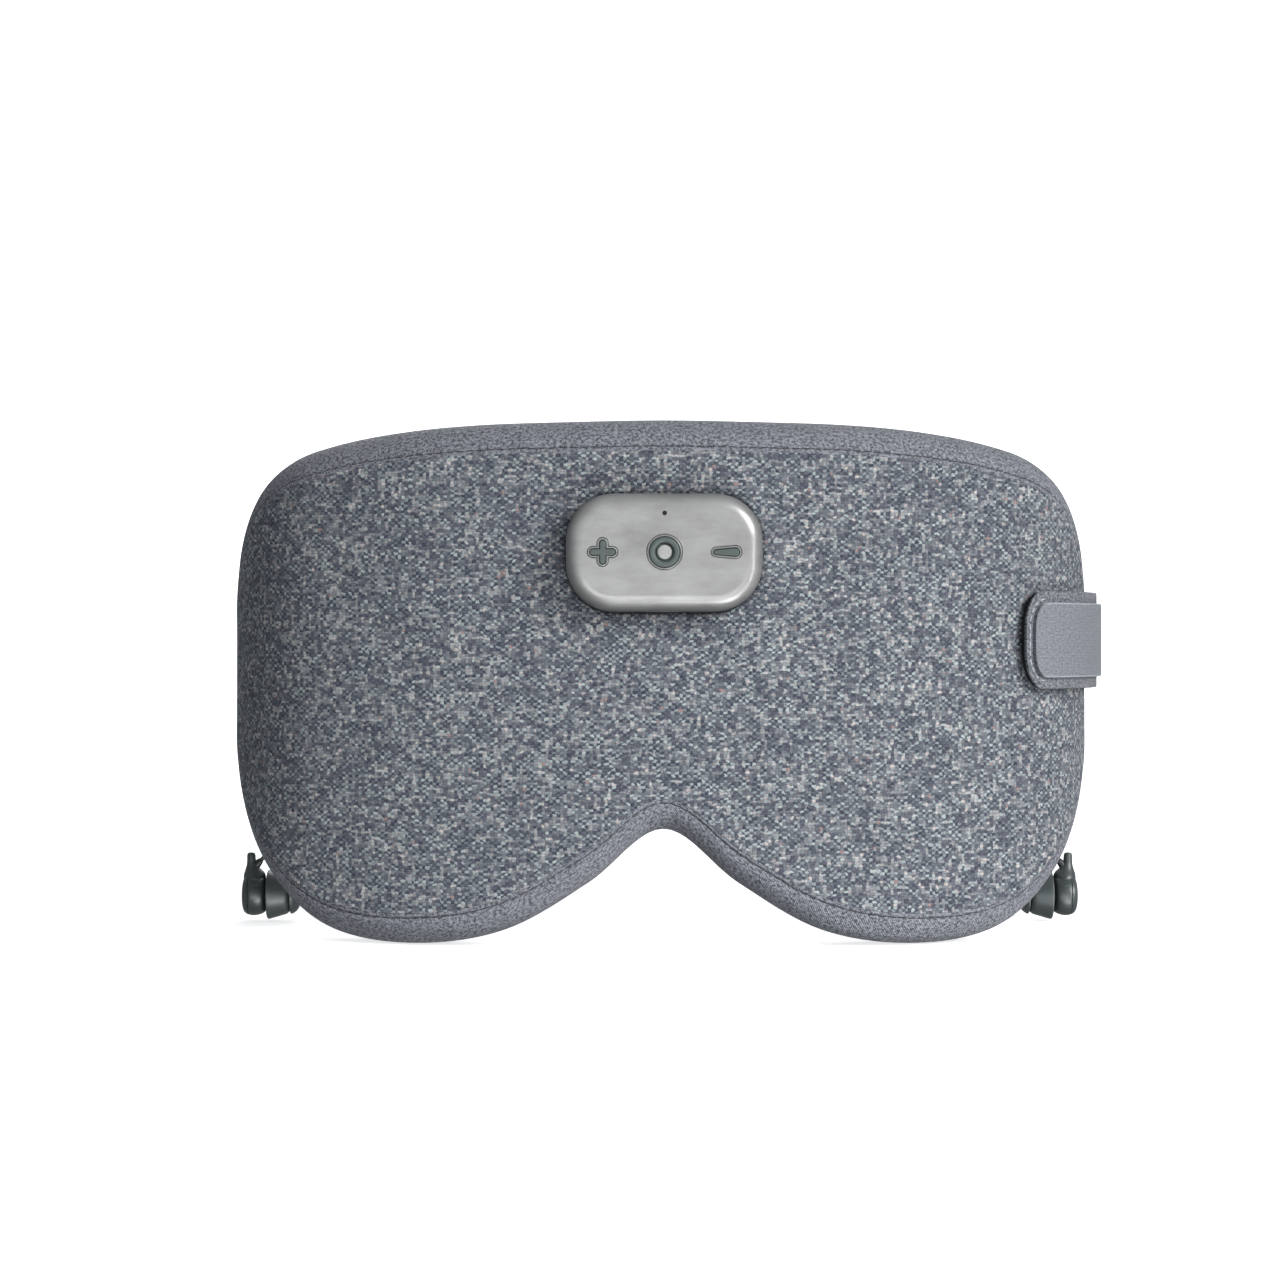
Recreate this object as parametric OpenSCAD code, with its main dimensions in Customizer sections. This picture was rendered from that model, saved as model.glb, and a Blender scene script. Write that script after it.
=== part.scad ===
// Wrap-around eye massager mask with a three-key control pod, hook-tab strap and hanging earbuds.
// Millimetres, +Z up. The front faces -Y and the wearer's head is on the +Y side.
// The origin is the middle of the face side: the back of the padded shell at the mid-plane.

/* [Mask shell] */
// Thickness of the padded shell at the mid-plane
mask_t = 20; // [18:0.5:22]
// Share of that thickness left at the ends of the side flaps
flap_thin = 0.62; // [0.6:0.01:0.7]
// Thickness of the fabric skins
skin_t = 1.2; // [1:0.1:1.4]
// Width of the rounded rim, measured over the front from the outline
rim_w = 9; // [8:0.5:10]

/* [Plan curve] */
// Radius of the shell across the nose and brow
front_r = 250; // [230:5:270]
// Radius over the outer corner of the eye
eye_r = 118; // [110:2:126]
// Radius round the temple
temple_r = 42; // [40:1:44]
// Radius of the side flap
flap_r = 220; // [200:10:240]

/* [Control pod] */
// Width of the pod
pod_w = 45; // [44:0.5:46]
// Height of the pod
pod_h = 27; // [26:0.5:28]
// How far the pod stands in front of the fabric
pod_rise = 8.5; // [8:0.1:9]
// Height of the pod's centre above the origin
pod_z = 20; // [19:0.5:21]
// Travel of the keys
key_travel = 0.5; // [0.3:0.1:0.5]

/* [Strap] */
// Width of the webbing
strap_w = 18; // [16:0.5:20]
// Thickness of the webbing
strap_t = 1.7; // [1.5:0.1:1.9]
// Width of the hook tab under the webbing
tab_w = 23.4; // [22:0.2:24]
// Radius of the strap round the back of the head
back_r = 79; // [76:1:82]

/* [Earbuds] */
// Diameter of the earbud housing
bud_d = 10.7; // [10:0.1:11]
// Diameter of the wide flange of the ear tip
tip_d = 12.6; // [12:0.1:13]
// Diameter of the ear cord
cord_d = 1.1; // [1:0.1:1.2]

/* [Hidden] */
$fn = 48;
deg = 180 / PI;
gap = 0.2;                                      // free play behind the keys' flanges
foam_gap = 0.4;                                 // free play between the skins and the foam
left = -1;
right = 1;

// Plan curve of the shell's front: tangent arcs from the mid-plane to the end of a flap.
arc_r = [front_r, eye_r, temple_r, flap_r];
arc_l = [50, 38, 46, 20];

// Right half of the outline, unrolled flat: [distance along the plan curve, height].
half_outline = [
    [0, 51.3], [22, 51], [44, 50.5], [64, 49.1], [82, 46.6], [97, 42.7], [111, 35], [126, 20.2],
    [138, -2],
    [134, -25], [118.6, -43.1], [102, -58.3], [83, -69.1], [60, -71.5], [38, -67.8], [18, -56.7], [0, -44.1],
];
outline_steps = 2;                              // points per stretch of the outline
half_n = len(half_outline) - 1;
ring_n = 2 * half_n * outline_steps;
flap_end = half_outline[half_n / 2][0];
spine_end = 100;                                // the rings close in on a spine of this half length
thin_from = 70;                                 // the shell starts to thin here along the curve
thin_over = 60;

// Depths of the layers at the mid-plane, counted from the front.
rim_rise = 7;                                   // depth over which the rim rounds off
seam_a = 75;                                    // the rim band's seams, as an angle round the rim
plate_front = 6.1;
plate_back = 7.4;
spacer_back = 15.4;
film_front = 18.4;
film_back = 18.7;
lining_front = 18.9;
layer_gap = 0.1;
inner_inset = 20;                               // the innermost ring, where the cavity starts

function run(s, i) = min(s, arc_l[i]) / arc_r[i] * deg;
function plan_angle(s, i = 0) =
    run(s, i) + (s > arc_l[i] && i < len(arc_l) - 1 ? plan_angle(s - arc_l[i], i + 1) : 0);
function plan_pos(s, i = 0, a = 0, p = [0, 0]) =
    let (b = a + run(s, i), q = p + arc_r[i] * [sin(b) - sin(a), cos(a) - cos(b)])
    s > arc_l[i] && i < len(arc_l) - 1 ? plan_pos(s - arc_l[i], i + 1, b, q) : q;
function smooth(x) = let (c = max(0, min(1, x))) c * c * (3 - 2 * c);
function thin(s) = 1 - (1 - flap_thin) * smooth((abs(s) - thin_from) / thin_over);
// A point at distance s along the curve and true depth d behind the front surface, in plan.
function plan_point(s, d) =
    let (a = plan_angle(abs(s)), p = plan_pos(abs(s)))
    [(s < 0 ? -1 : 1) * (p.x - d * sin(a)), p.y + d * cos(a) - mask_t];
// The same in space, with the depth thinned towards the flaps.
function shell_point(s, z, d) = let (p = plan_point(s, d * thin(s))) [p.x, p.y, z];

function mirrored(p) = [-p.x, p.y];
full_outline = concat(half_outline, [for (i = [half_n - 1:-1:1]) mirrored(half_outline[i])]);
function wrap(k, n) = (k % n + n) % n;
function at(list, k) = list[wrap(k, len(list))];
// Catmull-Rom curve through a list of points.
function curve(a, b, c, d, t) =
    (2 * b + (c - a) * t + (2 * a - 5 * b + 4 * c - d) * t * t + (3 * b - a - 3 * c + d) * t * t * t) / 2;
outline = [
    for (i = [0:2 * half_n - 1], j = [0:outline_steps - 1])
        curve(at(full_outline, i - 1), at(full_outline, i), at(full_outline, i + 1),
              at(full_outline, i + 2), j / outline_steps)
];
function partner(k) = wrap(ring_n / 2 - k, ring_n);
function spine(k) =
    let (m = (outline[wrap(k, ring_n)] + outline[partner(k)]) / 2)
    [spine_end * sin(90 * m.x / flap_end), m.y];
// A ring is [inset from the outline, depth]: it follows the outline and closes in on the spine.
function inset(k, u) = let (o = outline[k], v = spine(k) - o) o + v * min(1, u / norm(v));
function ring(r) = [for (k = [0:ring_n - 1]) let (q = inset(k, r[0])) shell_point(q.x, q.y, r[1])];

function flat_list(lists) = [for (l = lists) for (x = l) x];
// Faces between rings i and j. With other, each quad is split along its other diagonal.
function wall(i, j, n, other = false) =
    flat_list([for (k = [0:n - 1]) let (m = (k + 1) % n)
        other ? [[j * n + k, j * n + m, i * n + k], [j * n + m, i * n + m, i * n + k]]
              : [[j * n + k, j * n + m, i * n + m], [j * n + k, i * n + m, i * n + k]]]);
// The split depends only on which ring is further in, so that faces of neighbouring layers are parallel.
function inward(a, b) = a[0] < b[0];
// Closes a ring of the outline's form with strips between its upper and lower edge.
function lid(i, turned) =
    flat_list([for (k = [-ring_n / 4:ring_n / 4 - 1])
        let (a = wrap(k, ring_n), b = wrap(k + 1, ring_n), c = partner(k + 1), d = partner(k),
             q = [[a, b, c], [a, c, d]])
        [for (f = q) if (f[0] != f[1] && f[1] != f[2] && f[0] != f[2])
            [for (v = turned ? [f[2], f[1], f[0]] : f) i * ring_n + v]]]);

// A solid layer: rings from the middle of its front, out round its edge, to the middle of its back.
module layer(rings) {
    last = len(rings) - 1;
    polyhedron(flat_list([for (r = rings) ring(r)]),
        concat(flat_list([for (i = [0:last - 1]) wall(i, i + 1, ring_n, inward(rings[i], rings[i + 1]))]),
            lid(0, false), lid(last, true)));
}
// A band along the outline: its rings run once round its cross-section.
module outline_band(rings) {
    n = len(rings);
    polyhedron(flat_list([for (r = rings) ring(r)]),
        flat_list([for (i = [0:n - 1]) let (j = (i + 1) % n) wall(i, j, ring_n, inward(rings[i], rings[j]))]));
}
// Places on the rounded rim: a is 0 at the outline and 90 where the rim meets the front, e the depth in.
function rim_front(a, e) = [rim_w - (rim_w - e) * cos(a), rim_rise - (rim_rise - e) * sin(a)];
function rim_back(a, e) = let (r = rim_front(a, e)) [r[0], mask_t - r[1]];

// A low rounded pad on the shell, [s, z] centre, half sizes, base depth and rings of [scale, depth].
pad_n = 32;
pad_power = 0.72;                               // 1 is an ellipse and smaller is squarer
function soft_power(x) = (x < 0 ? -1 : 1) * pow(abs(x), pad_power);
module pad(c, h, rings) {
    n = len(rings);
    points = flat_list([for (r = rings) [for (i = [0:pad_n - 1])
        let (a = -360 * i / pad_n)
        shell_point(c.x + r[0] * h.x * soft_power(cos(a)), c.y + r[0] * h.y * soft_power(sin(a)), r[1])]]);
    middle = [shell_point(c.x, c.y, rings[0][1]), shell_point(c.x, c.y, rings[n - 1][1])];
    polyhedron(concat(points, middle),
        concat(flat_list([for (i = [0:n - 2]) wall(i, i + 1, pad_n)]),
            [for (k = [0:pad_n - 1]) [k, (k + 1) % pad_n, n * pad_n]],
            [for (k = [0:pad_n - 1])
                [(n - 1) * pad_n + (k + 1) % pad_n, (n - 1) * pad_n + k, n * pad_n + 1]]));
}

// ---- Control pod. Depths d count from the fabric at the mid-plane; forward is negative. ----
pod_corner = 11;
pod_wall = 1.1;
pod_edge = 3;                                   // radius of the pod's front edge
pod_rim_back = 1.4;                             // the cover's rim reaches this far into the window
base_front = -1.2;
base_floor = 1.3;
base_back = 5.9;
fit_gap = 0.1;
gasket_w = 1;
gasket_gap = 0.1;
window_gap = 0.2;
key_x = 14.1;
key_gap = 0.15;
light_dz = 8.9;
light_d = 1;
board_w = 38;
board_h = 20;
board_front = -2.6;
board_back = -1.6;
switch_size = 4.4;
switch_front = -4.1;                            // top of the switch's actuator
switch_body_t = 0.9;
screw_x = 17.3;
screw_dz = 6.6;
screw_d = 1.9;
boss_d = 4.6;
usb_w = 8.94;
usb_t = 3.26;
usb_depth = -3.2;                               // centre of the socket's mouth
usb_len = 6.6;

function y_of(d) = d - mask_t;
// A round-cornered plate parallel to the front, from depth a to depth b.
module pod_plate(w, h, r, a, b) {
    translate([0, y_of(b), pod_z]) rotate([90, 0, 0]) linear_extrude(b - a) rounded(w, h, r);
}
module rounded(w, h, r) {
    square([w - 2 * r, h], center = true);
    square([w, h - 2 * r], center = true);
    for (x = [-1, 1], y = [-1, 1]) translate([x * (w / 2 - r), y * (h / 2 - r)]) circle(r);
}
// A rod along Y at [x, z] relative to the pod's centre.
module pod_rod(x, z, d, a, b) {
    translate([x, y_of(b), pod_z + z]) rotate([90, 0, 0]) cylinder(d = d, h = b - a);
}
// The pod's pebble form, shrunk by e, with its round front edge as a stack of thin slices.
module pebble(e) {
    slice = 0.02;
    steps = 5;
    hull() {
        pod_plate(pod_w - 2 * e, pod_h - 2 * e, pod_corner - e, -pod_rise + pod_edge, pod_rim_back, $fn = 32);
        for (i = [0:steps]) {
            a = 90 * i / steps;
            s = (pod_edge - e) * (1 - sin(a)) + e;
            d = -pod_rise + pod_edge - (pod_edge - e) * cos(a);
            pod_plate(pod_w - 2 * s, pod_h - 2 * s, pod_corner - s, d, d + slice, $fn = 32);
        }
    }
}
module pod_window(w) {
    pod_plate(pod_w + 2 * w, pod_h + 2 * w, pod_corner + w, -5, plate_front + 2);
}
module screw_places() {
    for (x = [-1, 1], z = [-1, 1]) translate([x * screw_x, 0, z * screw_dz]) children();
}
plus_long = 5.9;
plus_high = 5.5;
plus_arm = 1.45;
minus_long = 5.9;
minus_thin = 1.1;
minus_thick = 1.9;
// Outlines of the plus and minus keys, grown by g all round.
module plus_outline(g) {
    r = plus_arm / 2 + g;
    for (v = [[plus_long, plus_arm], [plus_arm, plus_high]]) {
        long = max(v) / 2 - plus_arm / 2;
        flat = v.x > v.y;
        square([flat ? 2 * long : 2 * r, flat ? 2 * r : 2 * long], center = true);
        for (s = [-1, 1]) translate(flat ? [s * long, 0] : [0, s * long]) circle(r, $fn = 24);
    }
}
module minus_outline(g) {
    a = minus_thin / 2;
    b = minus_thick / 2;
    x = minus_long / 2;
    polygon([[-x + a, -a - g], [x - b, -b - g], [x - b, b + g], [-x + a, a + g]]);
    translate([-x + a, 0]) circle(a + g, $fn = 24);
    translate([x - b, 0]) circle(b + g, $fn = 24);
}
module key_form(x, a, b) {
    translate([x, y_of(b), pod_z]) rotate([90, 0, 0]) linear_extrude(b - a) children();
}
cap_front = -pod_rise - 0.05;
flange_front = -pod_rise + pod_wall + gap;
flange_t = 0.7;
flange_d = 8.6;
stem_d = 2;
ring_key_d = 7;
ring_centre_d = 3.3;
ring_centre_t = 0.9;
stem_back = switch_front - key_travel - 0.1;

// Flange and stem shared by the three keys.
module key_back(x) {
    pod_rod(x, 0, flange_d, flange_front, flange_front + flange_t);
    pod_rod(x, 0, stem_d, flange_front + flange_t, stem_back);
}

// ---- Vibration motors: a small can with an eccentric weight, in a plastic capsule. ----
motor_s = 60;
motor_z = -2;
motor_depth = 11.4;
can_d = 6;
can_len = 11;
can_low = -7;
shaft_d = 1;
shaft_gap = 0.05;
weight_r = 2.5;
weight_low = 5;
weight_len = 4.5;
chamber_d = 6.4;
chamber_top = 10.4;
capsule_w = 9.6;
capsule_t = 7.6;
capsule_top = 11.4;

module at_motor(side) {
    p = plan_point(side * motor_s, motor_depth);
    translate([p.x, p.y, motor_z]) rotate([0, 0, side * plan_angle(motor_s)]) children();
}

// ---- Strap and hook tab. Distances in front of the fabric are true millimetres. ----
tab_from = 87.4;                                  // free end of the tab, along the plan curve
web_from = 89.3;
hinge_s = 128;                                  // the tab leaves the shell here
hook_t = 0.8;
hook_front = 0.3;
pad_front = hook_front + hook_t + 0.1;
pad_t = 1.8;
web_front = pad_front + pad_t + 0.1;
tab_step = 2;
tab_corner = 8.7;
web_corner = 6;
end_slant = 0.52;                               // the flap's slant shortens the corners by this, seen in front
back_c = 143;                                   // depth of the centre of the strap's back arc
back_from = 16;                                 // angle at which the strap meets that arc
// Middle line of the strap from each flap to the back arc: [distance from the mid-plane, depth].
right_route = [[110.3, 51], [110.8, 57], [110.4, 63], [108.8, 70], [106.2, 78], [95.5, 107], [84.5, 138]];
left_route = [[99.8, 61], [99.8, 65], [98.9, 71], [97, 79], [90.2, 110], [82.9, 139]];

// A flat band standing on edge: a curved strip of the given half thickness along plan points.
module strip(points, half_t, w) {
    n = len(points);
    function way(i) =
        let (v = points[min(n - 1, i + 1)] - points[max(0, i - 1)]) [v.y, -v.x] / norm(v);
    translate([0, 0, -w / 2]) linear_extrude(w)
        polygon(concat([for (i = [0:n - 1]) points[i] + half_t * way(i)],
                       [for (i = [n - 1:-1:0]) points[i] - half_t * way(i)]));
}
// A strip that follows the front of the right flap, from s = a to s = b, at depth -f to -(f + t).
module flap_strip(a, b, f, t, w) {
    n = round((b - a) / tab_step);
    strip([for (i = [0:n]) plan_point(a + (b - a) * i / n, -f - t / 2)], t / 2, w);
}
// Keeps the free end of a flap strip round as seen from the front.
module round_end(from_x, w, r) {
    intersection() {
        children();
        translate([from_x, 60, 0]) rotate([90, 0, 0]) linear_extrude(120)
            scale([end_slant, 1]) translate([100, 0]) rounded(200, w, r);
    }
}
module strap_side(side, route) {
    last = [back_r * cos(back_from), back_c + back_r * sin(back_from)];
    strip([for (p = concat(route, [last])) [side * p.x, y_of(p.y)]], strap_t / 2, strap_w);
}

// ---- Earbuds. They hang on short cords from outlets at the rear edge of the flaps. ----
bud_y = y_of(66);
bud_z = -65.1;
cap_x = 106.6;                                  // outer end of the bud
split_x = 104.9;                                // joint between housing and end cap
neck_x = 100.7;                                 // inner end of the housing
tip_x = 92;                                     // inner end of the ear tip
bud_wall = 0.8;
stem_x = 104.5;
stem_w = 2.2;
stem_top = -54.5;
neck_d = 3.6;
neck_low = -62;
neck_top = -58;
nozzle_d = 3.6;
nozzle_bore = 2.4;
outlet_x = 99.8;
outlet_z = -20;
outlet_from = y_of(59.2);
outlet_d = 3.2;
outlet_flange = 5.4;
outlet_mouth = -24;
boot_d = 2;
boot_top = [102.2, -56.5];
boot_foot = [103.4, -58];

// Route of an ear cord: [distance from the mid-plane, height], in the plane of the bud's middle.
cord_route = [
    [99.8, -24.2], [99.8, -27], [99.7, -30], [99.6, -33], [99.4, -36], [99.2, -39], [99, -42], [98.9, -45],
    [98.9, -47.5], [99.1, -50], [99.5, -52], [100.1, -53.7], [100.9, -55], [101.6, -55.9], [102.1, -56.4],
];
// Routes of the wires inside the cavity: [distance from the mid-plane, depth, height].
wire_d = 1.2;
wire_route = [
    [1.2, 5, 20], [1.2, 8, 20], [3, 10.2, 19], [8, 11.6, 15], [16, 12.3, 8], [26, 13.2, 0], [36, 14.4, -7],
    [45, 16, -12.5], [52, 17.6, -14.5], [56.2, 18.7, -14], [57.6, 19.2, -11.8], [57.8, 19.3, -9.2],
];
tube_sides = 8;

// A tube of diameter d swept along 3-D points, its rings kept square to the local direction.
module tube(points, d) {
    n = len(points);
    function way(i) = let (v = points[min(n - 1, i + 1)] - points[max(0, i - 1)]) v / norm(v);
    function side_of(w) = let (v = abs(w.y) < 0.9 ? cross(w, [0, 1, 0]) : cross(w, [1, 0, 0])) v / norm(v);
    rings = [for (i = [0:n - 1]) let (w = way(i), u = side_of(w), v = cross(w, u))
        [for (k = [0:tube_sides - 1]) let (a = 360 * k / tube_sides)
            points[i] + d / 2 * (cos(a) * u + sin(a) * v)]];
    polyhedron(flat_list(rings),
        concat([[for (k = [0:tube_sides - 1]) k]],
            flat_list([for (i = [0:n - 2]) [for (k = [0:tube_sides - 1]) let (m = (k + 1) % tube_sides)
                [i * tube_sides + m, i * tube_sides + k, (i + 1) * tube_sides + k,
                 (i + 1) * tube_sides + m]]]),
            [[for (k = [tube_sides - 1:-1:0]) (n - 1) * tube_sides + k]]));
}
// A round part about the bud's axis: profile points are [distance from the mid-plane, radius].
module bud_round(side, profile) {
    translate([0, bud_y, bud_z]) rotate([0, side * 90, 0]) rotate_extrude()
        polygon([for (p = profile) [p.y, p.x]]);
}

// ======== Mask ========
module front_cover() {
    edge = rim_w + 0.5;
    color([0.46, 0.48, 0.51]) difference() {
        layer([[inner_inset, 0], [edge, 0], rim_front(seam_a + 2, 0), rim_front(seam_a + 2, skin_t),
               [edge, skin_t], [inner_inset, skin_t]]);
        pod_window(gasket_gap + gasket_w + window_gap);
    }
}
module rim_band() {
    angles = [0, 25, 50, seam_a];
    color([0.48, 0.49, 0.53]) outline_band(concat(
        [for (i = [3:-1:0]) rim_front(angles[i], 0)], [for (a = angles) rim_back(a, 0)],
        [for (i = [3:-1:0]) rim_back(angles[i], skin_t)], [for (a = angles) rim_front(a, skin_t)]));
}
module front_foam() {
    e = skin_t + foam_gap;
    back = plate_front - layer_gap;
    color([0.2, 0.2, 0.22]) difference() {
        layer([[inner_inset, e], rim_front(90, e), rim_front(65, e), rim_front(40, e), rim_front(12, e),
               [rim_w, back], [inner_inset, back]]);
        pod_window(gasket_gap + gasket_w + window_gap);
    }
}
module carrier_plate() {
    edge = 2.7;
    wire_hole_d = 5;
    color([0.75, 0.75, 0.72]) difference() {
        layer([[inner_inset, plate_front], [rim_w, plate_front], [edge, plate_front],
               [edge, plate_back], [rim_w, plate_back], [inner_inset, plate_back]]);
        screw_places() pod_rod(0, 0, screw_d + 0.3, plate_front - 2, plate_back + 4);
        pod_rod(0, 0, wire_hole_d, plate_front - 2, plate_back + 4);
    }
}
module spacer_foam() {
    e = skin_t + foam_gap;
    front = plate_back + layer_gap;
    color([0.2, 0.2, 0.22]) outline_band([
        [inner_inset, front], [rim_w, front], [e, front], [e, mask_t - rim_rise], [e + 0.5, spacer_back],
        [rim_w, spacer_back], [inner_inset, spacer_back]]);
}
module rear_foam() {
    e = skin_t + foam_gap;
    front = spacer_back + layer_gap;
    back = film_front - 0.25;
    color([0.24, 0.24, 0.26]) layer([
        [inner_inset, front], [rim_w, front], rim_back(28, e), rim_back(45, e), rim_back(68, e),
        [rim_w, back], [inner_inset, back]]);
}
module face_lining() {
    edge = rim_w + 0.5;
    color([0.3, 0.31, 0.34]) layer([
        [inner_inset, lining_front], [edge, lining_front], rim_back(seam_a + 2, mask_t - lining_front),
        rim_back(seam_a + 2, 0), [edge, mask_t], [inner_inset, mask_t]]);
}
eye_s = 38;
eye_z = -8;
module eye_pad(side) {
    half = [29, 25];
    color([0.33, 0.34, 0.37]) pad([side * eye_s, eye_z], half,
        [[0.5, mask_t + 0.3], [0.96, mask_t + 0.3], [1, mask_t + 1.6], [0.9, mask_t + 3.6],
         [0.6, mask_t + 5], [0.25, mask_t + 5.6]]);
}
module heating_film(side) {
    half = [25, 20];
    color([0.85, 0.55, 0.2]) pad([side * eye_s, eye_z], half,
        [[0.6, film_front], [1, film_front], [1, film_back], [0.6, film_back]]);
}

// ======== Control pod ========
module pod_cover() {
    color([0.68, 0.69, 0.69]) difference() {
        pebble(0);
        pebble(pod_wall);
        pod_plate(pod_w - 2 * pod_wall, pod_h - 2 * pod_wall, pod_corner - pod_wall, -1, pod_rim_back + 1);
        pod_rod(0, 0, ring_key_d + 2 * key_gap, -12, -5);
        pod_rod(0, light_dz, light_d, -12, -5);
        key_form(-key_x, -12, -5) plus_outline(key_gap);
        key_form(key_x, -12, -5) minus_outline(key_gap);
        translate([0, y_of(usb_depth), 0]) linear_extrude(pod_z - pod_h / 2 + 3)
            rounded(usb_w + 0.3, usb_t + 0.3, usb_t / 2);
    }
}
module pod_base() {
    w = pod_w - 2 * pod_wall - 2 * fit_gap;
    h = pod_h - 2 * pod_wall - 2 * fit_gap;
    r = pod_corner - pod_wall - fit_gap;
    color([0.3, 0.31, 0.32]) difference() {
        union() {
            difference() {
                pod_plate(w, h, r, base_front, base_back);
                pod_plate(w - 2.6, h - 2.6, r - base_floor, base_front - 1, base_back - base_floor);
            }
            screw_places() pod_rod(0, 0, boss_d, 1, base_back - 0.5);
            screw_places() pod_rod(0, 0, boss_d, base_back - 0.5, base_back + 0.6);
        }
        screw_places() pod_rod(0, 0, screw_d + 0.1, 0, 8);
        pod_rod(0, 0, 4.4, 0, 8);
    }
}
module pod_gasket() {
    i = gasket_gap;
    o = gasket_gap + gasket_w;
    color([0.14, 0.15, 0.15]) difference() {
        pod_plate(pod_w + 2 * o, pod_h + 2 * o, pod_corner + o, -0.2, base_back);
        pod_plate(pod_w + 2 * i, pod_h + 2 * i, pod_corner + i, -1, base_back + 1);
    }
}
module control_board() {
    notch = usb_w + 0.5;
    color([0.1, 0.35, 0.2]) difference() {
        pod_plate(board_w, board_h, 6, board_front, board_back);
        translate([-notch / 2, y_of(board_front) - 1, pod_z - pod_h / 2])
            cube([notch, 3, usb_len + 1.2]);
    }
}
module battery() {
    color([0.72, 0.74, 0.78]) pod_plate(27, 17, 1.2, -0.8, 3.6);
}
module usb_c_socket() {
    wall_t = 0.3;
    color([0.78, 0.78, 0.8]) translate([0, y_of(usb_depth), pod_z - pod_h / 2 + 0.4]) {
        linear_extrude(usb_len) difference() {
            rounded(usb_w, usb_t, usb_t / 2 - 0.01);
            rounded(usb_w - 2 * wall_t, usb_t - 2 * wall_t, usb_t / 2 - wall_t - 0.01);
        }
        translate([0, 0, usb_len - 1]) linear_extrude(1) rounded(usb_w, usb_t, usb_t / 2 - 0.01);
        translate([-3.2, -0.35, 0.8]) cube([6.4, 0.7, usb_len - 1]);
    }
}
module status_light_guide() {
    color([0.9, 0.95, 0.9, 0.6]) pod_rod(0, light_dz, light_d - 0.1, -pod_rise + 0.2, board_front - 0.1);
}
module key_switches() {
    color([0.12, 0.12, 0.13]) for (x = [-key_x, 0, key_x]) {
        body_front = board_front - 0.05 - switch_body_t;
        translate([x - switch_size / 2, y_of(body_front), pod_z - switch_size / 2])
            cube([switch_size, switch_body_t, switch_size]);
        pod_rod(x, 0, 2.2, switch_front, body_front);
    }
}
module pod_screws() {
    head_from = 8.4;
    color([0.7, 0.7, 0.72]) screw_places() {
        pod_rod(0, 0, screw_d, 2.5, head_from);
        difference() {
            pod_rod(0, 0, 3.6, head_from, head_from + 1.2);
            pod_rod(0, 0, 1.6, head_from + 0.6, head_from + 2, $fn = 6);
        }
    }
}
module ring_key() {
    color([0.24, 0.27, 0.26]) difference() {
        union() {
            pod_rod(0, 0, ring_key_d, cap_front, flange_front);
            key_back(0);
        }
        pod_rod(0, 0, ring_centre_d + 0.1, cap_front - 1, cap_front + ring_centre_t + 0.05);
    }
}
module ring_key_centre() {
    color([0.75, 0.77, 0.76]) pod_rod(0, 0, ring_centre_d, cap_front, cap_front + ring_centre_t);
}
module plus_key() {
    color([0.24, 0.27, 0.26]) union() {
        key_form(-key_x, cap_front, flange_front) plus_outline(0);
        key_back(-key_x);
    }
}
module minus_key() {
    color([0.24, 0.27, 0.26]) union() {
        key_form(key_x, cap_front, flange_front) minus_outline(0);
        key_back(key_x);
    }
}

// ======== Vibration motors and wiring ========
module motor_capsule(side) {
    color([0.9, 0.9, 0.88, 0.6]) at_motor(side) difference() {
        translate([0, 0, can_low]) linear_extrude(capsule_top - can_low) rounded(capsule_w, capsule_t, 2.4);
        translate([0, 0, can_low - 1]) cylinder(d = can_d + 0.1, h = can_len + 1);
        translate([0, 0, can_low + can_len]) cylinder(d = chamber_d, h = chamber_top - can_low - can_len);
    }
}
module motor_can(side) {
    color([0.75, 0.76, 0.78]) at_motor(side) difference() {
        translate([0, 0, can_low]) cylinder(d = can_d, h = can_len);
        translate([0, 0, can_low + 3]) cylinder(d = shaft_d + 2 * shaft_gap, h = can_len);
    }
}
module motor_shaft(side) {
    color([0.6, 0.6, 0.62]) at_motor(side)
        translate([0, 0, can_low + 3.2]) cylinder(d = shaft_d, h = weight_low + weight_len - can_low - 3.2);
}
module motor_weight(side) {
    color([0.65, 0.55, 0.3]) at_motor(side) translate([0, 0, weight_low]) difference() {
        cylinder(r = weight_r, h = weight_len);
        cylinder(d = shaft_d, h = 3 * weight_len, center = true);
        translate([-5, 0.8, -1]) cube([10, 5, weight_len + 2]);
    }
}
module wiring(side) {
    color([0.1, 0.1, 0.12]) tube([for (p = wire_route) [side * p.x, y_of(p.y), p.z]], wire_d);
}

// ======== Strap ========
module strap_left() {
    color([0.3, 0.31, 0.34]) strap_side(left, left_route);
}
module strap_right() {
    color([0.3, 0.31, 0.34]) strap_side(right, right_route);
}
module strap_back() {
    start = back_from + 0.3;
    color([0.3, 0.31, 0.34]) translate([0, y_of(back_c), -strap_w / 2]) rotate([0, 0, start])
        rotate_extrude(angle = 180 - 2 * start, $fn = 96)
            translate([back_r - strap_t / 2, 0]) square([strap_t, strap_w]);
}
module tab_pad() {
    color([0.5, 0.51, 0.55]) round_end(plan_point(tab_from, -pad_front).x, tab_w, tab_corner)
        flap_strip(tab_from - 4, hinge_s - 0.2, pad_front, pad_t, tab_w);
}
module tab_webbing() {
    color([0.56, 0.58, 0.62]) round_end(plan_point(web_from, -web_front).x, strap_w, web_corner)
        flap_strip(web_from - 4, hinge_s - 0.2, web_front, strap_t, strap_w);
}
module hook_patch() {
    color([0.15, 0.16, 0.17]) flap_strip(tab_from + 4, hinge_s - 3, hook_front, hook_t, tab_w - 4);
}

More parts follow.
